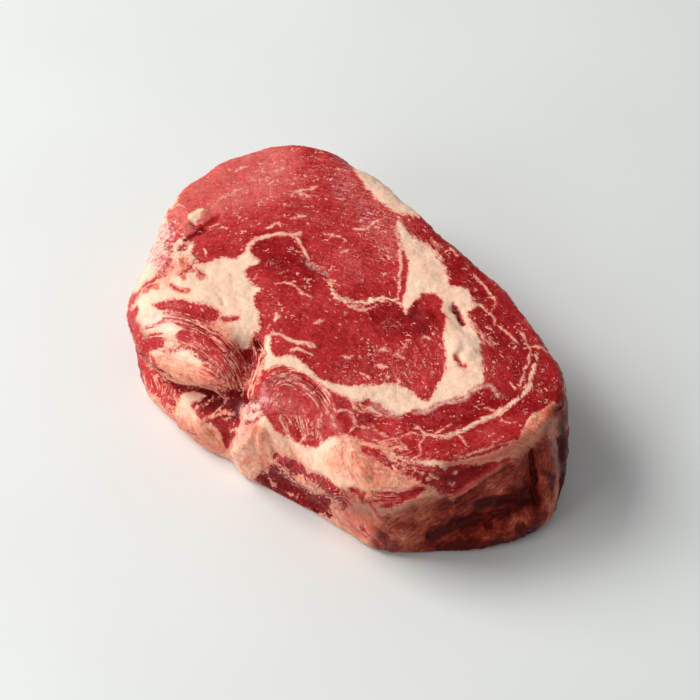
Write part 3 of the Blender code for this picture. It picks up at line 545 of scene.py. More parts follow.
# Creases, pits and lumps too small for the solid: name, height in mm (sunk if negative), reach in pixels,
# and points
CARVINGS = (
    ("slit of the notch", -2.6, 2.6, ((255.5, 342), (259, 347), (263, 353))),
    ("tear at the left", -1.0, 2.8, TEAR),
    ("line under the tear", -1.0, 2.0, UNDER_THE_TEAR),
    ("raised tag", 0.5, 4.0, ((193, 216), (199, 214), (205, 212))),
    ("curls by the tag", 0.7, 2.4, ((170, 226), (176, 222), (183, 226), (188, 222))),
    ("lobe by the torn fat", 0.9, 4.5, ((178, 245), (186, 240))),
    ("crease of the membrane", -0.8, 2.2, ((161, 271), (167, 266), (172, 261))),
    ("crevice in the wedge", -1.6, 2.4, ((454, 308), (459, 315), (464, 322))),
    ("lump in the right wedge", 0.9, 8.0, ((455, 350), (458, 342), (466, 341), (471, 349))),
    ("pit in the lump", -1.4, 3.0, ((459, 358), (461, 363))),
    ("crease below the lump", -0.5, 2.2, ((461, 366), (468, 369), (474, 370))),
    ("gouge", -0.9, 5.0, ((308, 263), (318, 268), (328, 273))),
    ("pit by the right wedge", -1.0, 9.0, ((408, 318), (414, 320))),
    ("small pit in the left wedge", -0.7, 2.2, ((223, 300), (224, 303))),
    ("upright crease at the cap end", -1.5, 2.2, UPRIGHT_CREASE),
    ("slanting crease", -1.0, 2.6, SLANTING_CREASE),
    ("crease below it", -0.8, 2.2, LOW_CREASE),
    ("belt of the wall", -1.0, 5.0, BELT),
    ("curl on the cap end", -0.7, 1.8, CURL),
    ("rib by the upright crease", 0.8, 3.0, ((539, 462), (539, 480), (540, 500))),
    ("rib over the slanting crease", 0.6, 3.0, ((500, 492), (512, 490), (524, 488))),
    ("rib below the slanting crease", 0.6, 3.0, ((494, 508), (508, 504), (520, 506))),
    ("rib along the red strip", 0.5, 2.4, STRIP_CREST),
    ("small fold at the base", -1.0, 3.0, BASE_FOLD),
    ("dark valley beside the cap end", -1.2, 3.0, ((559, 440), (561, 460), (562, 480), (560, 500))),
    ("shadow line under the lip", -1.3, 2.4, (
        (160, 371), (170, 379), (180, 384), (192, 387.5), (205, 388), (215, 389), (226, 392), (238, 394),
        (247, 400))),
    ("ridge in the hollow", 0.9, 2.6, HOLLOW_RIDGE),
    ("lump under the lip", 0.8, 3.6, ((157, 378), (158, 380))),
    ("second lump under the lip", 0.7, 3.0, ((165, 378), (166, 380))),
    ("bulge of the lobe", 0.8, 8.0, ((186, 400), (192, 415), (204, 432))),
    ("crack beside the notch", -0.9, 1.8, CRACK),
    ("first vein of the web", 0.5, 2.0, (
        (337, 413), (341, 410), (346, 411), (351, 415), (355, 421), (352, 428))),
    ("valley by the web", -0.8, 2.0, ((338, 432), (343, 434), (348, 431))),
    ("rim of the pad", 0.7, 2.6, ((331, 449), (336, 443.5), (345, 441.5), (356, 443))),
    ("edge under the fat pad", -0.9, 3.0, ((355, 490), (375, 495), (395, 496), (415, 492), (430, 486))),
    ("edge over the ragged strip", -0.8, 2.2, ((366, 450), (382, 456), (398, 463), (412, 469))),
    ("fold in the lower fat", -0.8, 2.4, ((258, 430), (253, 444), (257, 458))),
    ("second fold", -0.8, 2.2, ((266, 436), (274, 448), (277, 460))),
    ("third fold", -0.6, 2.6, ((288, 441), (294, 454), (292, 468))),
    ("fourth fold", -0.6, 2.8, ((312, 450), (318, 466), (326, 478))),
    ("crest of the front ridge", 0.7, 4.0, ((236, 452), (250, 440), (266, 428), (284, 436), (304, 444))),
    ("swelling of the fat pad", 0.8, 9.0, ((338, 452), (352, 462), (366, 470))),
    ("line round the pad's lobes", -0.5, 2.0, (
        (346, 446), (347, 462), (352, 476), (364, 484), (374, 478), (370, 464))),
    ("second line in the pad", -0.5, 2.0, ((374, 462), (386, 470), (396, 480), (410, 484))),
    ("crease by the front foot", -0.9, 2.6, ((296, 462), (318, 476), (340, 490))),
    ("creases at the wall's foot", -0.6, 2.2, ((345, 505), (352, 520), (364, 536))),
    ("second crease at the foot", -0.6, 2.2, ((368, 508), (376, 524), (388, 540))),
    ("valley between the foot's lobes", -1.0, 3.0, ((172, 400), (174, 412), (182, 424))),
)

# What the washes change, and where each starts: tone from dark to light, holding the lean's own tone and
# painted shade and light, fat and lean mingled in strands, torn edges, pink membrane with painted sheen and a
# real wet coat, silverskin, dry film, reddish fat, and how thickly the lean is marbled
CHANNELS = {"tone_and_painted_shading": 0.55, "mingle": 0.0, "rough": 0.0, "membrane_and_painted_sheen": 0.0, "silver": 0.0, "film": 0.0, "blush": 0.0,
            "marble": 0.5}

# Lines that the grain of the meat follows: name, how far each reaches in pixels, and points
GRAINS = (
    ("cap end", 26, ((537, 430), (537, 475), (536, 505), (533, 535))),
    ("film on the wall", 42, ((515, 462), (480, 486), (445, 508), (410, 533), (395, 548))),
    ("front foot", 22, ((258, 474), (290, 486), (315, 500), (336, 516))),
    ("purple streaks", 9, ((330, 486), (360, 495), (395, 499), (430, 489))),
    ("ragged strip", 10, ((364, 450), (390, 463), (415, 473), (445, 478))),
    ("fan down the front", 12, ((284, 418), (290, 430), (296, 444))),
    ("middle of the fan", 9, ((302, 414), (305, 428), (308, 444))),
    ("right of the fan", 9, ((318, 410), (320, 426), (322, 446))),
    ("arc over the front", 17, ((262, 404), (269, 390), (284, 380), (302, 384), (316, 395), (327, 412))),
    ("front ridge", 16, ((262, 430), (270, 448), (276, 470))),
    ("ridge beside it", 15, ((300, 446), (304, 462), (312, 480))),
    ("fat pad", 18, ((336, 446), (344, 466), (356, 488))),
    ("foot of the wall", 18, ((340, 510), (356, 528), (378, 546))),
    ("left foot", 14, ((141, 348), (145, 368), (152, 388))),
    ("lower lobe", 12, ((182, 398), (198, 420), (216, 444))),
    ("cream lobe", 14, ((150, 356), (170, 362), (192, 370), (212, 380), (242, 393))),
    ("strands of the flap", 17, (
        (140, 330), (171, 326), (196, 334), (212, 344), (228, 358), (238, 374), (244, 390))),
    ("notch", 8, ((257, 340), (259, 357), (254, 376), (248, 398))),
)


def in_picture(points):
    """Where points in metres show in the picture, in pixels."""
    away = points - np.array(EYE_POINT)
    depth = -(away @ np.array(BACK))
    focal = LENS / SENSOR * PICTURE
    across = PICTURE / 2 + focal * (away @ np.array(RIGHT)) / depth
    down = PICTURE / 2 - focal * (away @ np.array(UP)) / depth
    return np.stack([across, down], 1)


def smooth(value, low, high):
    """0 below low, 1 above high and an even S between them."""
    t = np.clip((value - low) / (high - low), 0, 1)
    return t * t * (3 - 2 * t)


def curve_through(points, closed, steps=4):
    """A smooth line through points (Catmull-Rom)."""
    p = np.array(points, float)
    if len(p) < 3:
        return p
    before = np.roll(p, 1, 0)
    after = np.roll(p, -1, 0)
    after2 = np.roll(p, -2, 0)
    if not closed:
        before[0] = 2 * p[0] - p[1]
        after2[-2] = 2 * p[-1] - p[-2]
        p, before, after, after2 = p[:-1], before[:-1], after[:-1], after2[:-1]
    out = []
    for t in np.arange(steps) / steps:
        out.append(0.5 * (2 * p + (after - before) * t + (2 * before - 5 * p + 4 * after - after2) * t**2
                          + (3 * p - before - 3 * after + after2) * t**3))
    line = np.stack(out, 1).reshape(-1, 2)
    return line if closed else np.vstack([line, [points[-1]]])


def line_distance(places, line):
    """The distance from each place to a line, and how far along it the nearest point is (0 to 1)."""
    nearest = np.full(len(places), 1e9)
    along = np.zeros(len(places))
    for i in range(len(line) - 1):
        a, b = line[i], line[i + 1]
        run = b - a
        t = np.clip((places - a) @ run / max(run @ run, 1e-9), 0, 1)
        gap = np.linalg.norm(places - a - t[:, None] * run, axis=1)
        closer = gap < nearest
        nearest[closer] = gap[closer]
        along[closer] = (i + t[closer]) / (len(line) - 1)
    return nearest, along


def inside(places, outline):
    """True for the places inside a closed outline."""
    x, y = places[:, 0], places[:, 1]
    within = np.zeros(len(places), bool)
    for a, b in zip(outline, np.roll(outline, -1, 0)):
        crosses = (a[1] > y) != (b[1] > y)
        rise = b[1] - a[1] if b[1] != a[1] else 1e-9
        within ^= crosses & (x < a[0] + (b[0] - a[0]) * (y - a[1]) / rise)
    return within


def mark_depth(places, half_width, points, uneven=None):
    """How far inside a mark each place is, in pixels: negative outside, and -REACH far away."""
    closed = half_width is None
    line = curve_through(points, closed)
    depth = np.full(len(places), -REACH)
    near = ((places > line.min(0) - REACH) & (places < line.max(0) + REACH)).all(1)
    if not near.any():
        return depth
    some = places[near]
    if closed:
        gap, _ = line_distance(some, np.vstack([line, line[:1]]))
        depth[near] = np.where(inside(some, line), gap, -gap)
    else:
        gap, along = line_distance(some, line)
        taper = 0.35 + 0.65 * np.sqrt(np.clip(4 * along * (1 - along), 0, 1))
        if uneven is not None:
            taper *= 1.0 + 0.5 * uneven[near]
        depth[near] = half_width * taper - gap
    return np.maximum(depth, -REACH)


def paint(base, places, marks, allowed, uneven):
    """The depth into fat, in pixels, after the marks are painted over base, and 1 along thin strokes."""
    fat = base.copy()
    thin = np.zeros(len(places))
    for _name, tissue, half_width, points in marks:
        depth = mark_depth(places, half_width and max(half_width, NARROWEST), points, uneven)
        if half_width and half_width < THIN_BELOW:
            thin = np.maximum(thin, smooth(depth, -3.5, -0.5) * allowed)
        if tissue == FAT:
            fat = np.where(allowed, np.maximum(fat, depth), fat)
        else:
            fat = np.where(allowed, np.minimum(fat, -depth), fat)
    return fat, thin


def wash(places, washes, allowed):
    """Each channel's amount at each place, after the washes that change it."""
    amounts = {name: np.full(len(places), start) for name, start in CHANNELS.items()}
    for _name, channel, amount, reach, points in washes:
        line = curve_through(points, False)
        near = allowed & ((places > line.min(0) - reach) & (places < line.max(0) + reach)).all(1)
        gap, _ = line_distance(places[near], line)
        amounts[channel][near] += amount * smooth(-gap, -reach, -0.3 * reach)
    return amounts


def wash_areas(amounts, places, areas, allowed):
    """Adds the washes of whole areas to the channels' amounts."""
    for _name, channel, amount, softness, outline in areas:
        within = np.where(allowed, mark_depth(places, None, outline), -REACH)
        amounts[channel] += amount * smooth(within, -softness / 2, softness / 2)


def carve(places, carvings, allowed):
    """The height of the small creases, pits and lumps at each place, in mm."""
    height = np.zeros(len(places))
    for _name, rise, reach, points in carvings:
        line = curve_through(points, False)
        near = allowed & ((places > line.min(0) - 3 * reach) & (places < line.max(0) + 3 * reach)).all(1)
        gap, _ = line_distance(places[near], line)
        height[near] += rise * np.exp(-(gap / reach) ** 2)
    return height


def only(piece):
    """piece alone is selected and active."""
    bpy.ops.object.select_all(action="DESELECT")
    piece.select_set(True)
    bpy.context.view_layer.objects.active = piece


def copy_of_the_solid():
    """A fine, closed copy of the steak's solid, to be shaped as the meat that shows."""
    only(frame["nodes"]["steak"])
    bpy.ops.object.duplicate()
    meat = bpy.context.active_object
    bpy.ops.object.parent_clear(type="CLEAR_KEEP_TRANSFORM")
    del meat["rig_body"], meat["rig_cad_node"]
    meat.name = meat.data.name = "steak_meat"
    meat.data.materials.clear()
    only(meat)
    bpy.ops.object.mode_set(mode="EDIT")
    bpy.ops.mesh.select_all(action="SELECT")
    bpy.ops.mesh.remove_doubles(threshold=NO_GAP)
    bpy.ops.mesh.customdata_custom_splitnormals_clear()
    bpy.ops.mesh.select_mode(type="FACE")
    bpy.ops.mesh.select_all(action="DESELECT")
    bpy.ops.object.mode_set(mode="OBJECT")
    for f in meat.data.polygons:
        f.select = all(meat.data.vertices[v].co.z < NO_GAP for v in f.vertices)
    bpy.ops.object.mode_set(mode="EDIT")
    bpy.ops.mesh.delete(type="FACE")
    bpy.ops.mesh.select_all(action="SELECT")
    bpy.ops.mesh.tris_convert_to_quads(face_threshold=math.radians(60), shape_threshold=math.radians(60))
    bpy.ops.mesh.select_all(action="DESELECT")
    bpy.ops.mesh.select_mode(type="EDGE")
    bpy.ops.mesh.select_non_manifold(extend=False, use_wire=False, use_boundary=True, use_multi_face=False,
                                     use_non_contiguous=False, use_verts=False)
    bpy.ops.mesh.fill_grid(span=FOOT_SPAN, use_interp_simple=True)
    bpy.ops.object.mode_set(mode="OBJECT")
    fine = meat.modifiers.new("fine", "SUBSURF")
    fine.levels = fine.render_levels = SUBDIVISIONS
    bpy.ops.object.modifier_apply(modifier=fine.name)
    return meat


def thin_the_underside(meat):
    """Fewer faces on the underside, so that the piece keeps its budget for what shows."""
    group = meat.vertex_groups.new(name="underside")
    group.add([v.index for v in meat.data.vertices if v.co.z < THINNED_BELOW], 1.0, "REPLACE")
    thin = meat.modifiers.new("thin", "DECIMATE")
    thin.vertex_group = group.name
    thin.ratio = MOST_TRIANGLES / sum(len(f.vertices) - 2 for f in meat.data.polygons)
    bpy.ops.object.modifier_apply(modifier=thin.name)
    meat.vertex_groups.remove(meat.vertex_groups["underside"])


def vertex_places(meat):
    """Places in metres and normals of the piece's vertices."""
    count = len(meat.data.vertices)
    co = np.empty(count * 3, np.float32)
    meat.data.vertices.foreach_get("co", co)
    normal = np.empty(count * 3, np.float32)
    meat.data.vertices.foreach_get("normal", normal)
    return co.reshape(-1, 3).astype(float), normal.reshape(-1, 3).astype(float)


def shown_in_picture(meat, co, normal):
    """True for the vertices that the camera sees."""
    tree = BVHTree.FromPolygons([v.co for v in meat.data.vertices],
                                [tuple(f.vertices) for f in meat.data.polygons])
    to_camera = np.array(EYE_POINT) - co
    to_camera /= np.linalg.norm(to_camera, axis=1)[:, None]
    shown = (to_camera * normal).sum(1) > 0.02
    start = co + to_camera * 0.0006
    for i in np.nonzero(shown)[0]:
        hit = tree.ray_cast(Vector(start[i]), Vector(to_camera[i]))
        shown[i] = hit[0] is None
    return shown


def noise_at(places, size, seed=0.0, octaves=3):
    """Soft noise from about -1 to 1 whose features are of that size, at places in the same units."""
    scaled = places / size + seed
    return np.array([noise.fractal(Vector(p), 0.6, 2.1, octaves) for p in scaled])


def store(meat, name, values):
    """Keeps one number, or one vector, for each vertex under a name that the material reads."""
    kind = "FLOAT" if values.ndim == 1 else "FLOAT_VECTOR"
    attribute = meat.data.attributes.new(name, kind, "POINT")
    attribute.data.foreach_set("value" if kind == "FLOAT" else "vector", values.astype(np.float32).ravel())


def rim_of(co):
    """The outline's radius for each whole degree round the middle, in mm, evened out over 13 degrees."""
    angle = np.degrees(np.arctan2(co[:, 1], co[:, 0])) % 360
    radius = np.hypot(co[:, 0], co[:, 1])
    best = np.zeros(360)
    np.maximum.at(best, angle.astype(int) % 360, radius)
    return np.convolve(np.concatenate([best[-6:], best, best[:6]]), np.ones(13) / 13, "valid")


def grain_of(co, seen, shown, under):
    """Grain coordinates in mm: along the muscle's fibres, across them, and apart for each muscle; how far
    below the rim each vertex is; and how surely the grain runs there, from 0 where two muscles meet to 1."""
    mm = co * MM
    outline = rim_of(mm)
    angle = np.arctan2(mm[:, 1], mm[:, 0])
    reach = np.interp(np.degrees(angle) % 360, np.arange(360) + 0.5, outline, period=360)
    depth = (reach - np.hypot(mm[:, 0], mm[:, 1])) + (FACE_HEIGHT - mm[:, 2])
    flow = np.stack([angle * ROUND_THE_STEAK, depth, np.zeros(len(co))], 1)
    from_curl = mm[:, :2] - np.array(EYE_CURL)
    polar = np.stack([np.arctan2(from_curl[:, 1], from_curl[:, 0]) * ROUND_THE_CURL, np.hypot(*from_curl.T),
                      np.full(len(co), 40.0)], 1)
    within = np.where(shown | under, mark_depth(seen, None, EYE_AREA), -REACH)
    hold = np.abs(within)
    flow[within > 0] = polar[within > 0]
    for number, (_name, reach, points) in enumerate(GRAINS):
        line = curve_through(points, False)
        gap, along = line_distance(seen, line)
        within = np.where(shown, reach - gap, -REACH)
        hold = np.where(within > 0, within, np.minimum(hold, -within))
        length = np.linalg.norm(np.diff(line, axis=0), axis=1).sum() * MM_PER_PIXEL
        ahead = np.gradient(line, axis=0)[np.clip((along * (len(line) - 1)).astype(int), 0, len(line) - 1)]
        nearest = line[np.clip(np.rint(along * (len(line) - 1)).astype(int), 0, len(line) - 1)]
        hand = np.sign(ahead[:, 0] * (seen - nearest)[:, 1] - ahead[:, 1] * (seen - nearest)[:, 0])
        apart = np.full(len(co), 80.0 + 40.0 * number)
        guided = np.stack([along * length, hand * gap * MM_PER_PIXEL, apart], 1)
        flow[within > 0] = guided[within > 0]
    return flow, depth, smooth(hold, 0.8, 3.5)


def nudge(meat, relief):
    """Raises and sinks the surface along its normals by relief, in mm."""
    for name, part, direction in (("raised", relief, 1.0), ("sunk", -relief, -1.0)):
        most = max(part.max(), 0.01)
        group = meat.vertex_groups.new(name=name)
        for i in np.nonzero(part > 0.002)[0]:
            group.add([int(i)], float(part[i] / most), "REPLACE")
        push = meat.modifiers.new(name, "DISPLACE")
        push.vertex_group = name
        push.mid_level = 0.0
        push.strength = direction * most / MM
    for name in ("raised", "sunk"):
        bpy.ops.object.modifier_apply(modifier=name)
        meat.vertex_groups.remove(meat.vertex_groups[name])


def along(flow, share):
    """Grain coordinates that change more slowly along the fibres, so that noise on them is drawn out."""
    return flow * np.array([share, 1, 1])


def tissue_of(seen, flow, side, shown, under, round_the_cap, uneven):
    """How far inside fat each vertex is, in pixels (negative in lean), and 1 along thin strokes."""
    bands = 2.0 * noise_at(along(flow, 0.25), 8.0, 6.1) + 1.0 + round_the_cap
    fat = -REACH / 2 + REACH * side * np.where(shown, 1.0, np.clip(bands, 0, 1))
    fat, thin = paint(fat, seen, FACE_MARKS, shown | under, uneven)
    fat, thin_at_side = paint(fat, seen, SIDE_MARKS, shown & ~under, uneven)
    return fat, np.maximum(thin, thin_at_side)


def amounts_of(seen, mm, side, shown, under, round_the_cap):
    """What every channel is at each vertex. On the hidden sides, noise takes the washes' place."""
    amounts = wash(seen, WASHES, shown | under)
    wash_areas(amounts, seen, WASHED_AREAS, shown | under)
    amounts["blush"] += 0.3 * side
    behind = side * ~(shown | under)
    amounts["film"] += behind * np.clip(1.05 * round_the_cap + 0.4 * noise_at(mm, 14.0, 5.5), 0, 1)
    amounts["tone_and_painted_shading"] -= behind * (0.2 * round_the_cap + 0.3 * np.abs(noise_at(mm, 9.0, 8.6)))
    amounts["blush"] += behind * (0.15 + 0.7 * noise_at(mm, 9.0, 5.1))
    amounts["mingle"] += behind * 0.35
    return amounts


def relief_of(fat_mm, amounts, flow, grain, mm, side):
    """The height of the fine relief in mm: fat that stands proud, lumps, fibres, strands and torn bits."""
    mingle, rough = amounts["mingle"], amounts["rough"]
    fatty = smooth(fat_mm * (1 - 0.8 * mingle), -0.5, 0.6)
    strand = noise_at(along(flow, 0.16), 1.8, 2.2, 2)
    relief = (0.12 + 0.2 * side) * fatty
    relief += (0.08 + 0.3 * side) * noise_at(mm, 3.0, 11.3, 2) * fatty
    relief += 0.14 * noise_at(along(flow, 0.25), 1.8, 7.7, 2) * (1 - fatty)
    relief += 0.35 * noise_at(mm, 7.0, 3.1)
    relief += 0.45 * noise_at(along(flow, 0.3), 3.5, 4.4, 2) * side * grain
    return relief + 0.5 * mingle * strand * grain + 0.9 * rough * noise_at(mm, 2.2, 9.4, 2)


def dress(meat):
    """Works out the tissue at every vertex, shapes the fine relief and keeps what the material reads."""
    co, normal = vertex_places(meat)
    mm = co * MM
    under = co[:, 2] < UNDERSIDE_BELOW
    shown = shown_in_picture(meat, co, normal)
    lifted = co.copy()
    lifted[under, 2] = FACE_HEIGHT / MM
    seen = in_picture(lifted)
    side = smooth(0.55 - normal[:, 2], 0.0, 0.35) * (~under)
    round_the_cap = smooth(mm[:, 0], 28.0, 74.0)
    flow, depth, grain = grain_of(co, seen, shown, under)
    seen = seen + WOBBLE * np.stack([noise_at(mm, 4.5, seed, 3) for seed in (21.0, 35.0)], 1)
    fat, thin = tissue_of(seen, flow, side, shown, under, round_the_cap, noise_at(mm, 3.0, 48.0, 2))
    fat_mm = np.clip(fat * MM_PER_PIXEL, -3, 3)
    amounts = amounts_of(seen, mm, side, shown, under, round_the_cap)
    relief = relief_of(fat_mm, amounts, flow, grain, mm, side) + carve(seen, CARVINGS, shown)
    relief[~under] *= smooth(mm[~under, 2], 0.0, 3.0)
    relief[under] = -0.4 * np.abs(relief[under]) * smooth(depth[under] - FACE_HEIGHT, 1, 5)
    nudge(meat, relief)
    for name, values in (("fat", fat_mm), ("flow", flow), ("grain", grain), ("thin", thin)):
        store(meat, name, values)
    for name, values in amounts.items():
        store(meat, name, np.clip(values, 0, 1.2))


class Recipe:
    """Builds one material from nodes. An input is a number, a colour or another node's output."""

    def __init__(self, name):
        self.material = bpy.data.materials.new(name)
        self.material.use_nodes = True
        self.nodes = self.material.node_tree.nodes
        self.links = self.material.node_tree.links
        self.nodes.clear()

    def add(self, kind, inputs, output=0, **settings):
        node = self.nodes.new(kind)
        for key, value in settings.items():
            setattr(node, key, value)
        for key, value in inputs.items():
            if isinstance(value, bpy.types.NodeSocket):
                self.links.new(value, node.inputs[key])
            else:
                node.inputs[key].default_value = value
        return node.outputs[output]

    def field(self, name, output="Fac"):
        """What the mesh stores under name."""
        return self.add("ShaderNodeAttribute", {}, output, attribute_name=name)

    def sums(self, operation, a, b=0.0, c=0.0):
        return self.add("ShaderNodeMath", {0: a, 1: b, 2: c}, operation=operation)

    def times(self, a, b):
        return self.sums("MULTIPLY", a, b)

    def scaled(self, a, b, c):
        """a times b, plus c."""
        return self.sums("MULTIPLY_ADD", a, b, c)

    def from_middle(self, cloud):
        """How far a cloud that runs from 0 to 1 is from its middle: a thin line where it is near 0."""
        return self.sums("ABSOLUTE", self.sums("SUBTRACT", cloud, 0.5))

    def moved(self, vector, shift):
        return self.add("ShaderNodeVectorMath", {0: vector, 1: shift}, operation="ADD")

    def stretch(self, vector, sizes, shift=(0, 0, 0)):
        """vector in units of the given sizes, moved by shift."""
        return self.add("ShaderNodeMapping", {"Vector": vector, "Scale": [1 / s for s in sizes],
                                              "Location": shift})

    def cloud(self, vector, detail=2.0, roughness=0.5, output="Fac"):
        """Soft noise from 0 to 1 whose lumps are about one unit of vector wide."""
        return self.add("ShaderNodeTexNoise", {"Vector": vector, "Scale": 1.0, "Detail": detail,
                                               "Roughness": roughness}, output)

    def even_cloud(self, size, detail=2.0, roughness=0.5, shift=(0, 0, 0), output="Fac"):
        """A cloud with lumps of that size in mm, the same in all directions."""
        return self.cloud(self.stretch(self.mm, (size, size, size), shift), detail, roughness, output)

    def stray(self, size, amount):
        """A wandering vector that changes over size mm."""
        wander = self.even_cloud(size, 1.0, output="Color")
        return self.add("ShaderNodeVectorMath", {0: wander, "Scale": amount}, operation="SCALE")

    def step(self, value, low, high, start=0.0, end=1.0):
        """From start where value is low to end where it is high, in an even S."""
        return self.add("ShaderNodeMapRange", {"Value": value, "From Min": low, "From Max": high,
                                               "To Min": start, "To Max": end},
                        interpolation_type="SMOOTHSTEP")

    def blend_in(self, value, cloud, amount):
        """value, moved by a cloud that runs from 0 to 1, by at most half of amount either way."""
        return self.scaled(self.sums("SUBTRACT", cloud, 0.5), amount, value)

    def ramp(self, value, *stops):
        """A colour for each value between the stops, each a value and a colour from 0 to 255."""
        low, high = stops[0][0], stops[-1][0]
        scaled = self.add("ShaderNodeMapRange", {"Value": value, "From Min": low, "From Max": high})
        node = self.nodes.new("ShaderNodeValToRGB")
        self.links.new(scaled, node.inputs["Fac"])
        while len(node.color_ramp.elements) < len(stops):
            node.color_ramp.elements.new(0.5)
        for element, (place, tint) in zip(node.color_ramp.elements, stops):
            element.position = (place - low) / (high - low)
            element.color = colour(*tint)
        return node.outputs["Color"]

    def flecks(self, vector, size, share):
        """Short flecks of uneven size, one to a cell, in that share of the cells."""
        gap = self.add("ShaderNodeTexVoronoi", {"Vector": vector, "Scale": 1.0}, "Distance")
        cell = self.add("ShaderNodeTexVoronoi", {"Vector": vector, "Scale": 1.0}, "Color")
        chance = self.add("ShaderNodeSeparateColor", {"Color": cell}, "Red")
        bulk = self.add("ShaderNodeSeparateColor", {"Color": cell}, "Green")
        room = self.sums("SUBTRACT", self.scaled(bulk, 0.55 * size, 0.45 * size), gap)
        return self.times(self.step(room, 0.0, 0.07), self.step(self.sums("ADD", share, chance), 0.98, 1.04))

    def grained(self, long, wide, detail=3.0, roughness=0.5, shift=(0, 0, 0)):
        """A cloud drawn out along the grain, or an even one where two muscles meet."""
        drawn = self.cloud(self.stretch(self.flow, (long, wide, wide), shift), detail, roughness)
        return self.between(self.grain, self.even_cloud(wide, detail, roughness, shift), drawn)

    def between(self, factor, a, b):
        return self.add("ShaderNodeMix", {0: factor, 2: a, 3: b}, 0, data_type="FLOAT")

    def mix(self, factor, a, b):
        """The colour a, turned into the colour b as factor goes from 0 to 1."""
        return self.add("ShaderNodeMix", {0: factor, 6: a, 7: b}, 2, data_type="RGBA")

    def finish(self, shader):
        self.links.new(shader, self.nodes.new("ShaderNodeOutputMaterial").inputs["Surface"])
        return self.material


def colour(red, green, blue):
    """A colour as it looks, 0 to 255, turned into the light that it gives back."""
    light = (((c / 255 + 0.055) / 1.055) ** 2.4 if c > 10 else c / 255 / 12.92 for c in (red, green, blue))
    return (*light, 1.0)


def marbling_of(r, marble, drift):
    """The fine marbling of the lean: dashes and slivers along the fibres, crumbs, and faint wisps."""
    twist = r.moved(drift, r.stray(0.9, 0.7))
    crowd = r.even_cloud(6.0, 2.0, shift=(4, 4, 1))
    share = r.blend_in(r.scaled(marble, 0.5, 0.08), crowd, 1.6)
    dashes = r.flecks(r.moved(r.stretch(r.flow, (7.0, 2.9, 2.9)), twist), 0.34, share)
    slivers = r.flecks(r.moved(r.stretch(r.flow, (4.8, 1.9, 1.9), (5, 2, 3)), twist), 0.32,
                       r.sums("ADD", share, 0.08))
    crumbs = r.flecks(r.moved(r.stretch(r.mm, (2.0, 2.0, 2.0)), drift), 0.24, r.scaled(share, 0.6, 0.2))
    wisp = r.from_middle(r.cloud(r.moved(r.stretch(r.flow, (4.4, 2.0, 2.0)), drift), 2.0, 0.5))
    wisps = r.times(r.step(wisp, 0.03, 0.005), r.step(share, 0.3, 0.7, 0.0, 0.5))
    marbling = r.sums("MAXIMUM", r.sums("MAXIMUM", dashes, slivers), r.sums("MAXIMUM", crumbs, wisps))
    return r.times(marbling, r.grain)


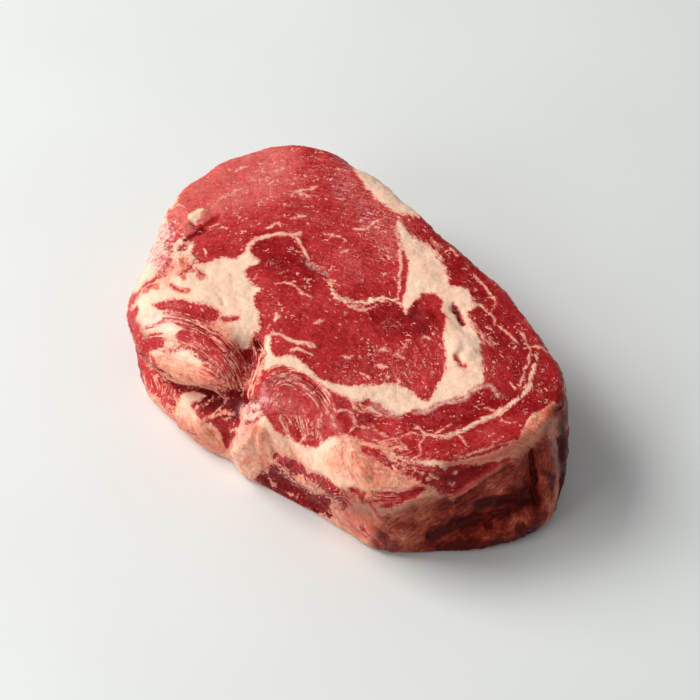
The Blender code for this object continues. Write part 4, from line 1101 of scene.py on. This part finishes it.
def raw_beef():
    """Lean with fibres and fine marbling, cream fat with a frayed edge, silverskin and a brown film."""
    r = Recipe("raw_beef")
    r.mm = r.stretch(r.add("ShaderNodeTexCoord", {}, "Object"), (0.001, 0.001, 0.001))
    r.flow, r.grain = r.field("flow", "Vector"), r.field("grain")
    fat, thin = r.field("fat"), r.field("thin")
    tone_and_painted_shading, mingle, rough, membrane_and_painted_sheen, silver, film, blush, marble = [r.field(name) for name in CHANNELS]
    fibres = r.grained(5.0, 0.7, 4.0, 0.6)
    strand = r.grained(7.0, 0.75, 3.0, 0.55, (3, 1, 5))
    fray = r.grained(2.2, 0.8, 4.0, 0.65, (7, 2, 4))
    grit = r.even_cloud(0.45)
    fine = r.even_cloud(1.3, 3.0, 0.6)
    broad = r.even_cloud(7.0, 3.0)
    drift = r.stray(2.4, 2.3)
    marbling = marbling_of(r, marble, drift)

    # The edge between lean and fat, frayed along the fibres
    edge = r.times(fat, r.scaled(mingle, -0.85, 1.0))
    edge = r.blend_in(edge, fray, r.scaled(thin, -2.0, 2.8))
    edge = r.blend_in(edge, strand, r.times(mingle, 6.5))
    edge = r.blend_in(edge, fine, r.scaled(rough, 6.0, 0.9))
    edge = r.blend_in(edge, grit, 0.35)
    in_fat = r.step(edge, -0.08, 0.16)
    solid_fat = r.step(edge, 0.0, 1.0)
    near_fat = r.step(edge, -0.6, 0.0)

    # The lean, made darker or lighter by the tone washes: its own tone, and painted shade and light
    depth = r.blend_in(tone_and_painted_shading, broad, 0.5)
    depth = r.blend_in(depth, fine, 0.55)
    depth = r.blend_in(depth, fibres, 0.28)
    depth = r.blend_in(depth, grit, 0.45)
    lean = r.ramp(depth, (0.0, (104, 0, 6)), (0.3, (148, 12, 18)), (0.55, (184, 41, 44)),
                  (0.8, (213, 82, 77)), (1.1, (232, 122, 112)))
    lean = r.mix(r.times(marbling, 0.85), lean, colour(243, 168, 148))

    # The fat, cream to reddish, with the lines between its lobules and fine veins
    warmth = r.blend_in(r.scaled(mingle, 0.28, blush), broad, 0.7)
    warmth = r.blend_in(warmth, fine, r.scaled(blush, 1.0, 0.25))
    warmth = r.blend_in(warmth, strand, r.times(blush, 1.8))
    cream = r.ramp(warmth, (-0.2, (253, 218, 190)), (0.1, (249, 203, 174)), (0.4, (242, 174, 144)),
                   (0.8, (232, 144, 114)), (1.2, (214, 96, 74)))
    lobules = r.add("ShaderNodeTexVoronoi", {"Vector": r.moved(r.stretch(r.mm, (4.0, 4.0, 4.0)), drift),
                                             "Scale": 1.0}, "Distance", feature="DISTANCE_TO_EDGE")
    lines = r.times(r.step(lobules, 0.08, 0.0), r.step(warmth, 0.0, 0.9, 0.2, 0.8))
    cream = r.mix(lines, cream, colour(222, 120, 92))
    veins = r.from_middle(r.grained(9.0, 1.6, 2.0, 0.5, (2, 8, 3)))
    veins = r.times(r.step(veins, 0.035, 0.0), r.step(warmth, 0.05, 0.5, 0.0, 0.85))
    cream = r.mix(veins, cream, colour(216, 104, 78))

    # The dry brown film on the side, with its fine creases, painted darker along them as shade, and with the
    # tone washes' painted shade and light
    creases = r.from_middle(r.grained(11.0, 2.6, 2.0, 0.5, (6, 1, 9)))
    creases = r.times(r.step(creases, 0.03, 0.0), film)
    brown = r.blend_in(tone_and_painted_shading, fibres, 0.6)
    brown = r.blend_in(brown, fine, 0.8)
    brown = r.blend_in(brown, broad, 1.2)
    brown = r.blend_in(brown, strand, 0.7)
    # Painted shade: the film darker along its creases
    brown = r.sums("MAXIMUM", r.scaled(creases, -0.16, brown), 0.02)
    brown = r.ramp(brown, (-0.1, (52, 0, 0)), (0.25, (112, 24, 12)), (0.5, (150, 52, 34)),
                   (0.75, (184, 92, 66)), (1.1, (216, 138, 106)))
    cream = r.mix(film, cream, brown)

    # Lean, the stained lean beside fat, thin fat and solid fat, one over the other
    thin_fat = r.mix(r.step(fine, 0.35, 0.7), colour(222, 112, 98), colour(242, 168, 146))
    thin_fat = r.mix(r.times(film, 0.8), thin_fat, brown)
    meat = r.mix(near_fat, lean, r.mix(r.scaled(mingle, 0.35, 0.3), lean, colour(218, 100, 88)))
    meat = r.mix(in_fat, meat, r.mix(solid_fat, thin_fat, cream))

    # Painted glints, pink membrane with painted pale gloss streaks, and grey silverskin
    painted_glints = r.scaled(fibres, 0.6, r.times(grit, 0.4))
    painted_glints = r.times(r.step(painted_glints, 0.57, 0.63), r.scaled(membrane_and_painted_sheen, 0.9, 0.05))
    meat = r.mix(r.times(painted_glints, r.sums("SUBTRACT", 1.0, film)), meat, colour(252, 200, 188))
    # Painted sheen: the membrane's pink laid in pale streaks, stronger as the channel grows
    pink = r.ramp(fine, (0.35, (210, 84, 86)), (0.6, (246, 184, 176)))
    streaks = r.step(r.times(r.sums("ADD", fray, strand), 0.5), 0.4, 0.6, 0.1, 0.9)
    meat = r.mix(r.times(r.times(membrane_and_painted_sheen, membrane_and_painted_sheen), streaks), meat, pink)
    grey = r.ramp(fine, (0.35, (196, 128, 118)), (0.65, (224, 176, 162)))
    meat = r.mix(r.times(silver, r.step(fray, 0.3, 0.6, 0.35, 0.8)), meat, grey)

    # Fibres, lumps of fat, torn bits and creases as bump
    lumps = r.even_cloud(3.6, 1.5, shift=(1, 6, 2))
    ridges = r.scaled(fibres, 0.45, r.times(grit, 0.2))
    ridges = r.between(r.times(solid_fat, r.scaled(blush, -0.6, 0.85)), ridges, r.times(lumps, 0.7))
    ridges = r.blend_in(ridges, strand, mingle)
    ridges = r.blend_in(ridges, fine, r.scaled(rough, 1.5, 0.25))
    ridges = r.sums("ADD", ridges, r.times(r.sums("MAXIMUM", in_fat, marbling), 0.08))
    ridges = r.scaled(r.sums("MAXIMUM", creases, veins), -0.07, ridges)
    bump = r.add("ShaderNodeBump", {"Height": ridges, "Strength": 0.8, "Distance": 0.001})
    # The coat here is real wet gloss, on the same channel as the painted sheen
    wet = r.scaled(membrane_and_painted_sheen, 0.5, r.scaled(in_fat, r.times(blush, 0.3), 0.03))
    return r.finish(r.add("ShaderNodeBsdfPrincipled", {
        "Base Color": meat, "Normal": bump, "Roughness": r.step(fine, 0.3, 0.7, 0.26, 0.46),
        "Specular IOR Level": 0.08, "Coat Weight": wet, "Coat Roughness": 0.16, "Coat IOR": 1.36,
        "Subsurface Weight": 0.1, "Subsurface Scale": 0.0015, "Subsurface Radius": (1.0, 0.3, 0.2)}))


def flat(vector):
    """vector laid level, one metre long."""
    return Vector((vector.x, vector.y, 0)).normalized()


def floor_and_light():
    """A plain pale floor, a soft key light from the left, a dim one in front, and a dim sky."""
    bpy.ops.object.select_all(action="DESELECT")
    bpy.ops.mesh.primitive_plane_add(size=4.0, location=(0, 0, 0))
    floor = bpy.context.active_object
    floor.name = "floor"
    r = Recipe("pale_floor")
    place = r.add("ShaderNodeTexCoord", {}, "Object")
    cloud = r.cloud(r.stretch(place, (0.08, 0.08, 0.08)), 3.0)
    pale = r.mix(cloud, colour(226, 228, 224), colour(234, 236, 232))
    matt = r.add("ShaderNodeBsdfPrincipled", {"Base Color": pale, "Roughness": 0.5})
    floor.data.materials.append(r.finish(matt))
    lights = (("key", -1.25 * RIGHT - 0.4 * flat(BACK) + Vector((0, 0, 1.25)), 1.0, 31.0),
              ("front", -0.95 * RIGHT + 0.6 * flat(BACK) + Vector((0, 0, 0.55)), 0.6, 4.2))
    for name, place, size, power in lights:
        light = bpy.data.lights.new(name, "AREA")
        light.size, light.energy = size, power
        lamp = bpy.data.objects.new(name, light)
        bpy.context.scene.collection.objects.link(lamp)
        lamp.location = place
        lamp.rotation_euler = (-place).to_track_quat("-Z", "Y").to_euler()
    world = bpy.data.worlds.new("sky")
    bpy.context.scene.world = world
    world.use_nodes = True
    world.node_tree.nodes["Background"].inputs["Color"].default_value = (0.95, 0.97, 1.0, 1.0)
    world.node_tree.nodes["Background"].inputs["Strength"].default_value = 0.3


def camera():
    """The camera at the photograph's viewing angle."""
    data = bpy.data.cameras.new("camera")
    data.lens, data.sensor_width = LENS, SENSOR
    cam = bpy.data.objects.new("camera", data)
    bpy.context.scene.collection.objects.link(cam)
    cam.location = EYE_POINT
    cam.rotation_mode = "QUATERNION"
    cam.rotation_quaternion = (-BACK).to_track_quat("-Z", "Y")
    bpy.context.scene.camera = cam
    bpy.context.scene.view_settings.view_transform = "Standard"


camera()
floor_and_light()
meat = copy_of_the_solid()
thin_the_underside(meat)
dress(meat)
meat.data.materials.append(raw_beef())
only(meat)
bpy.ops.object.shade_smooth()
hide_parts("steak")
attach(meat, "root")
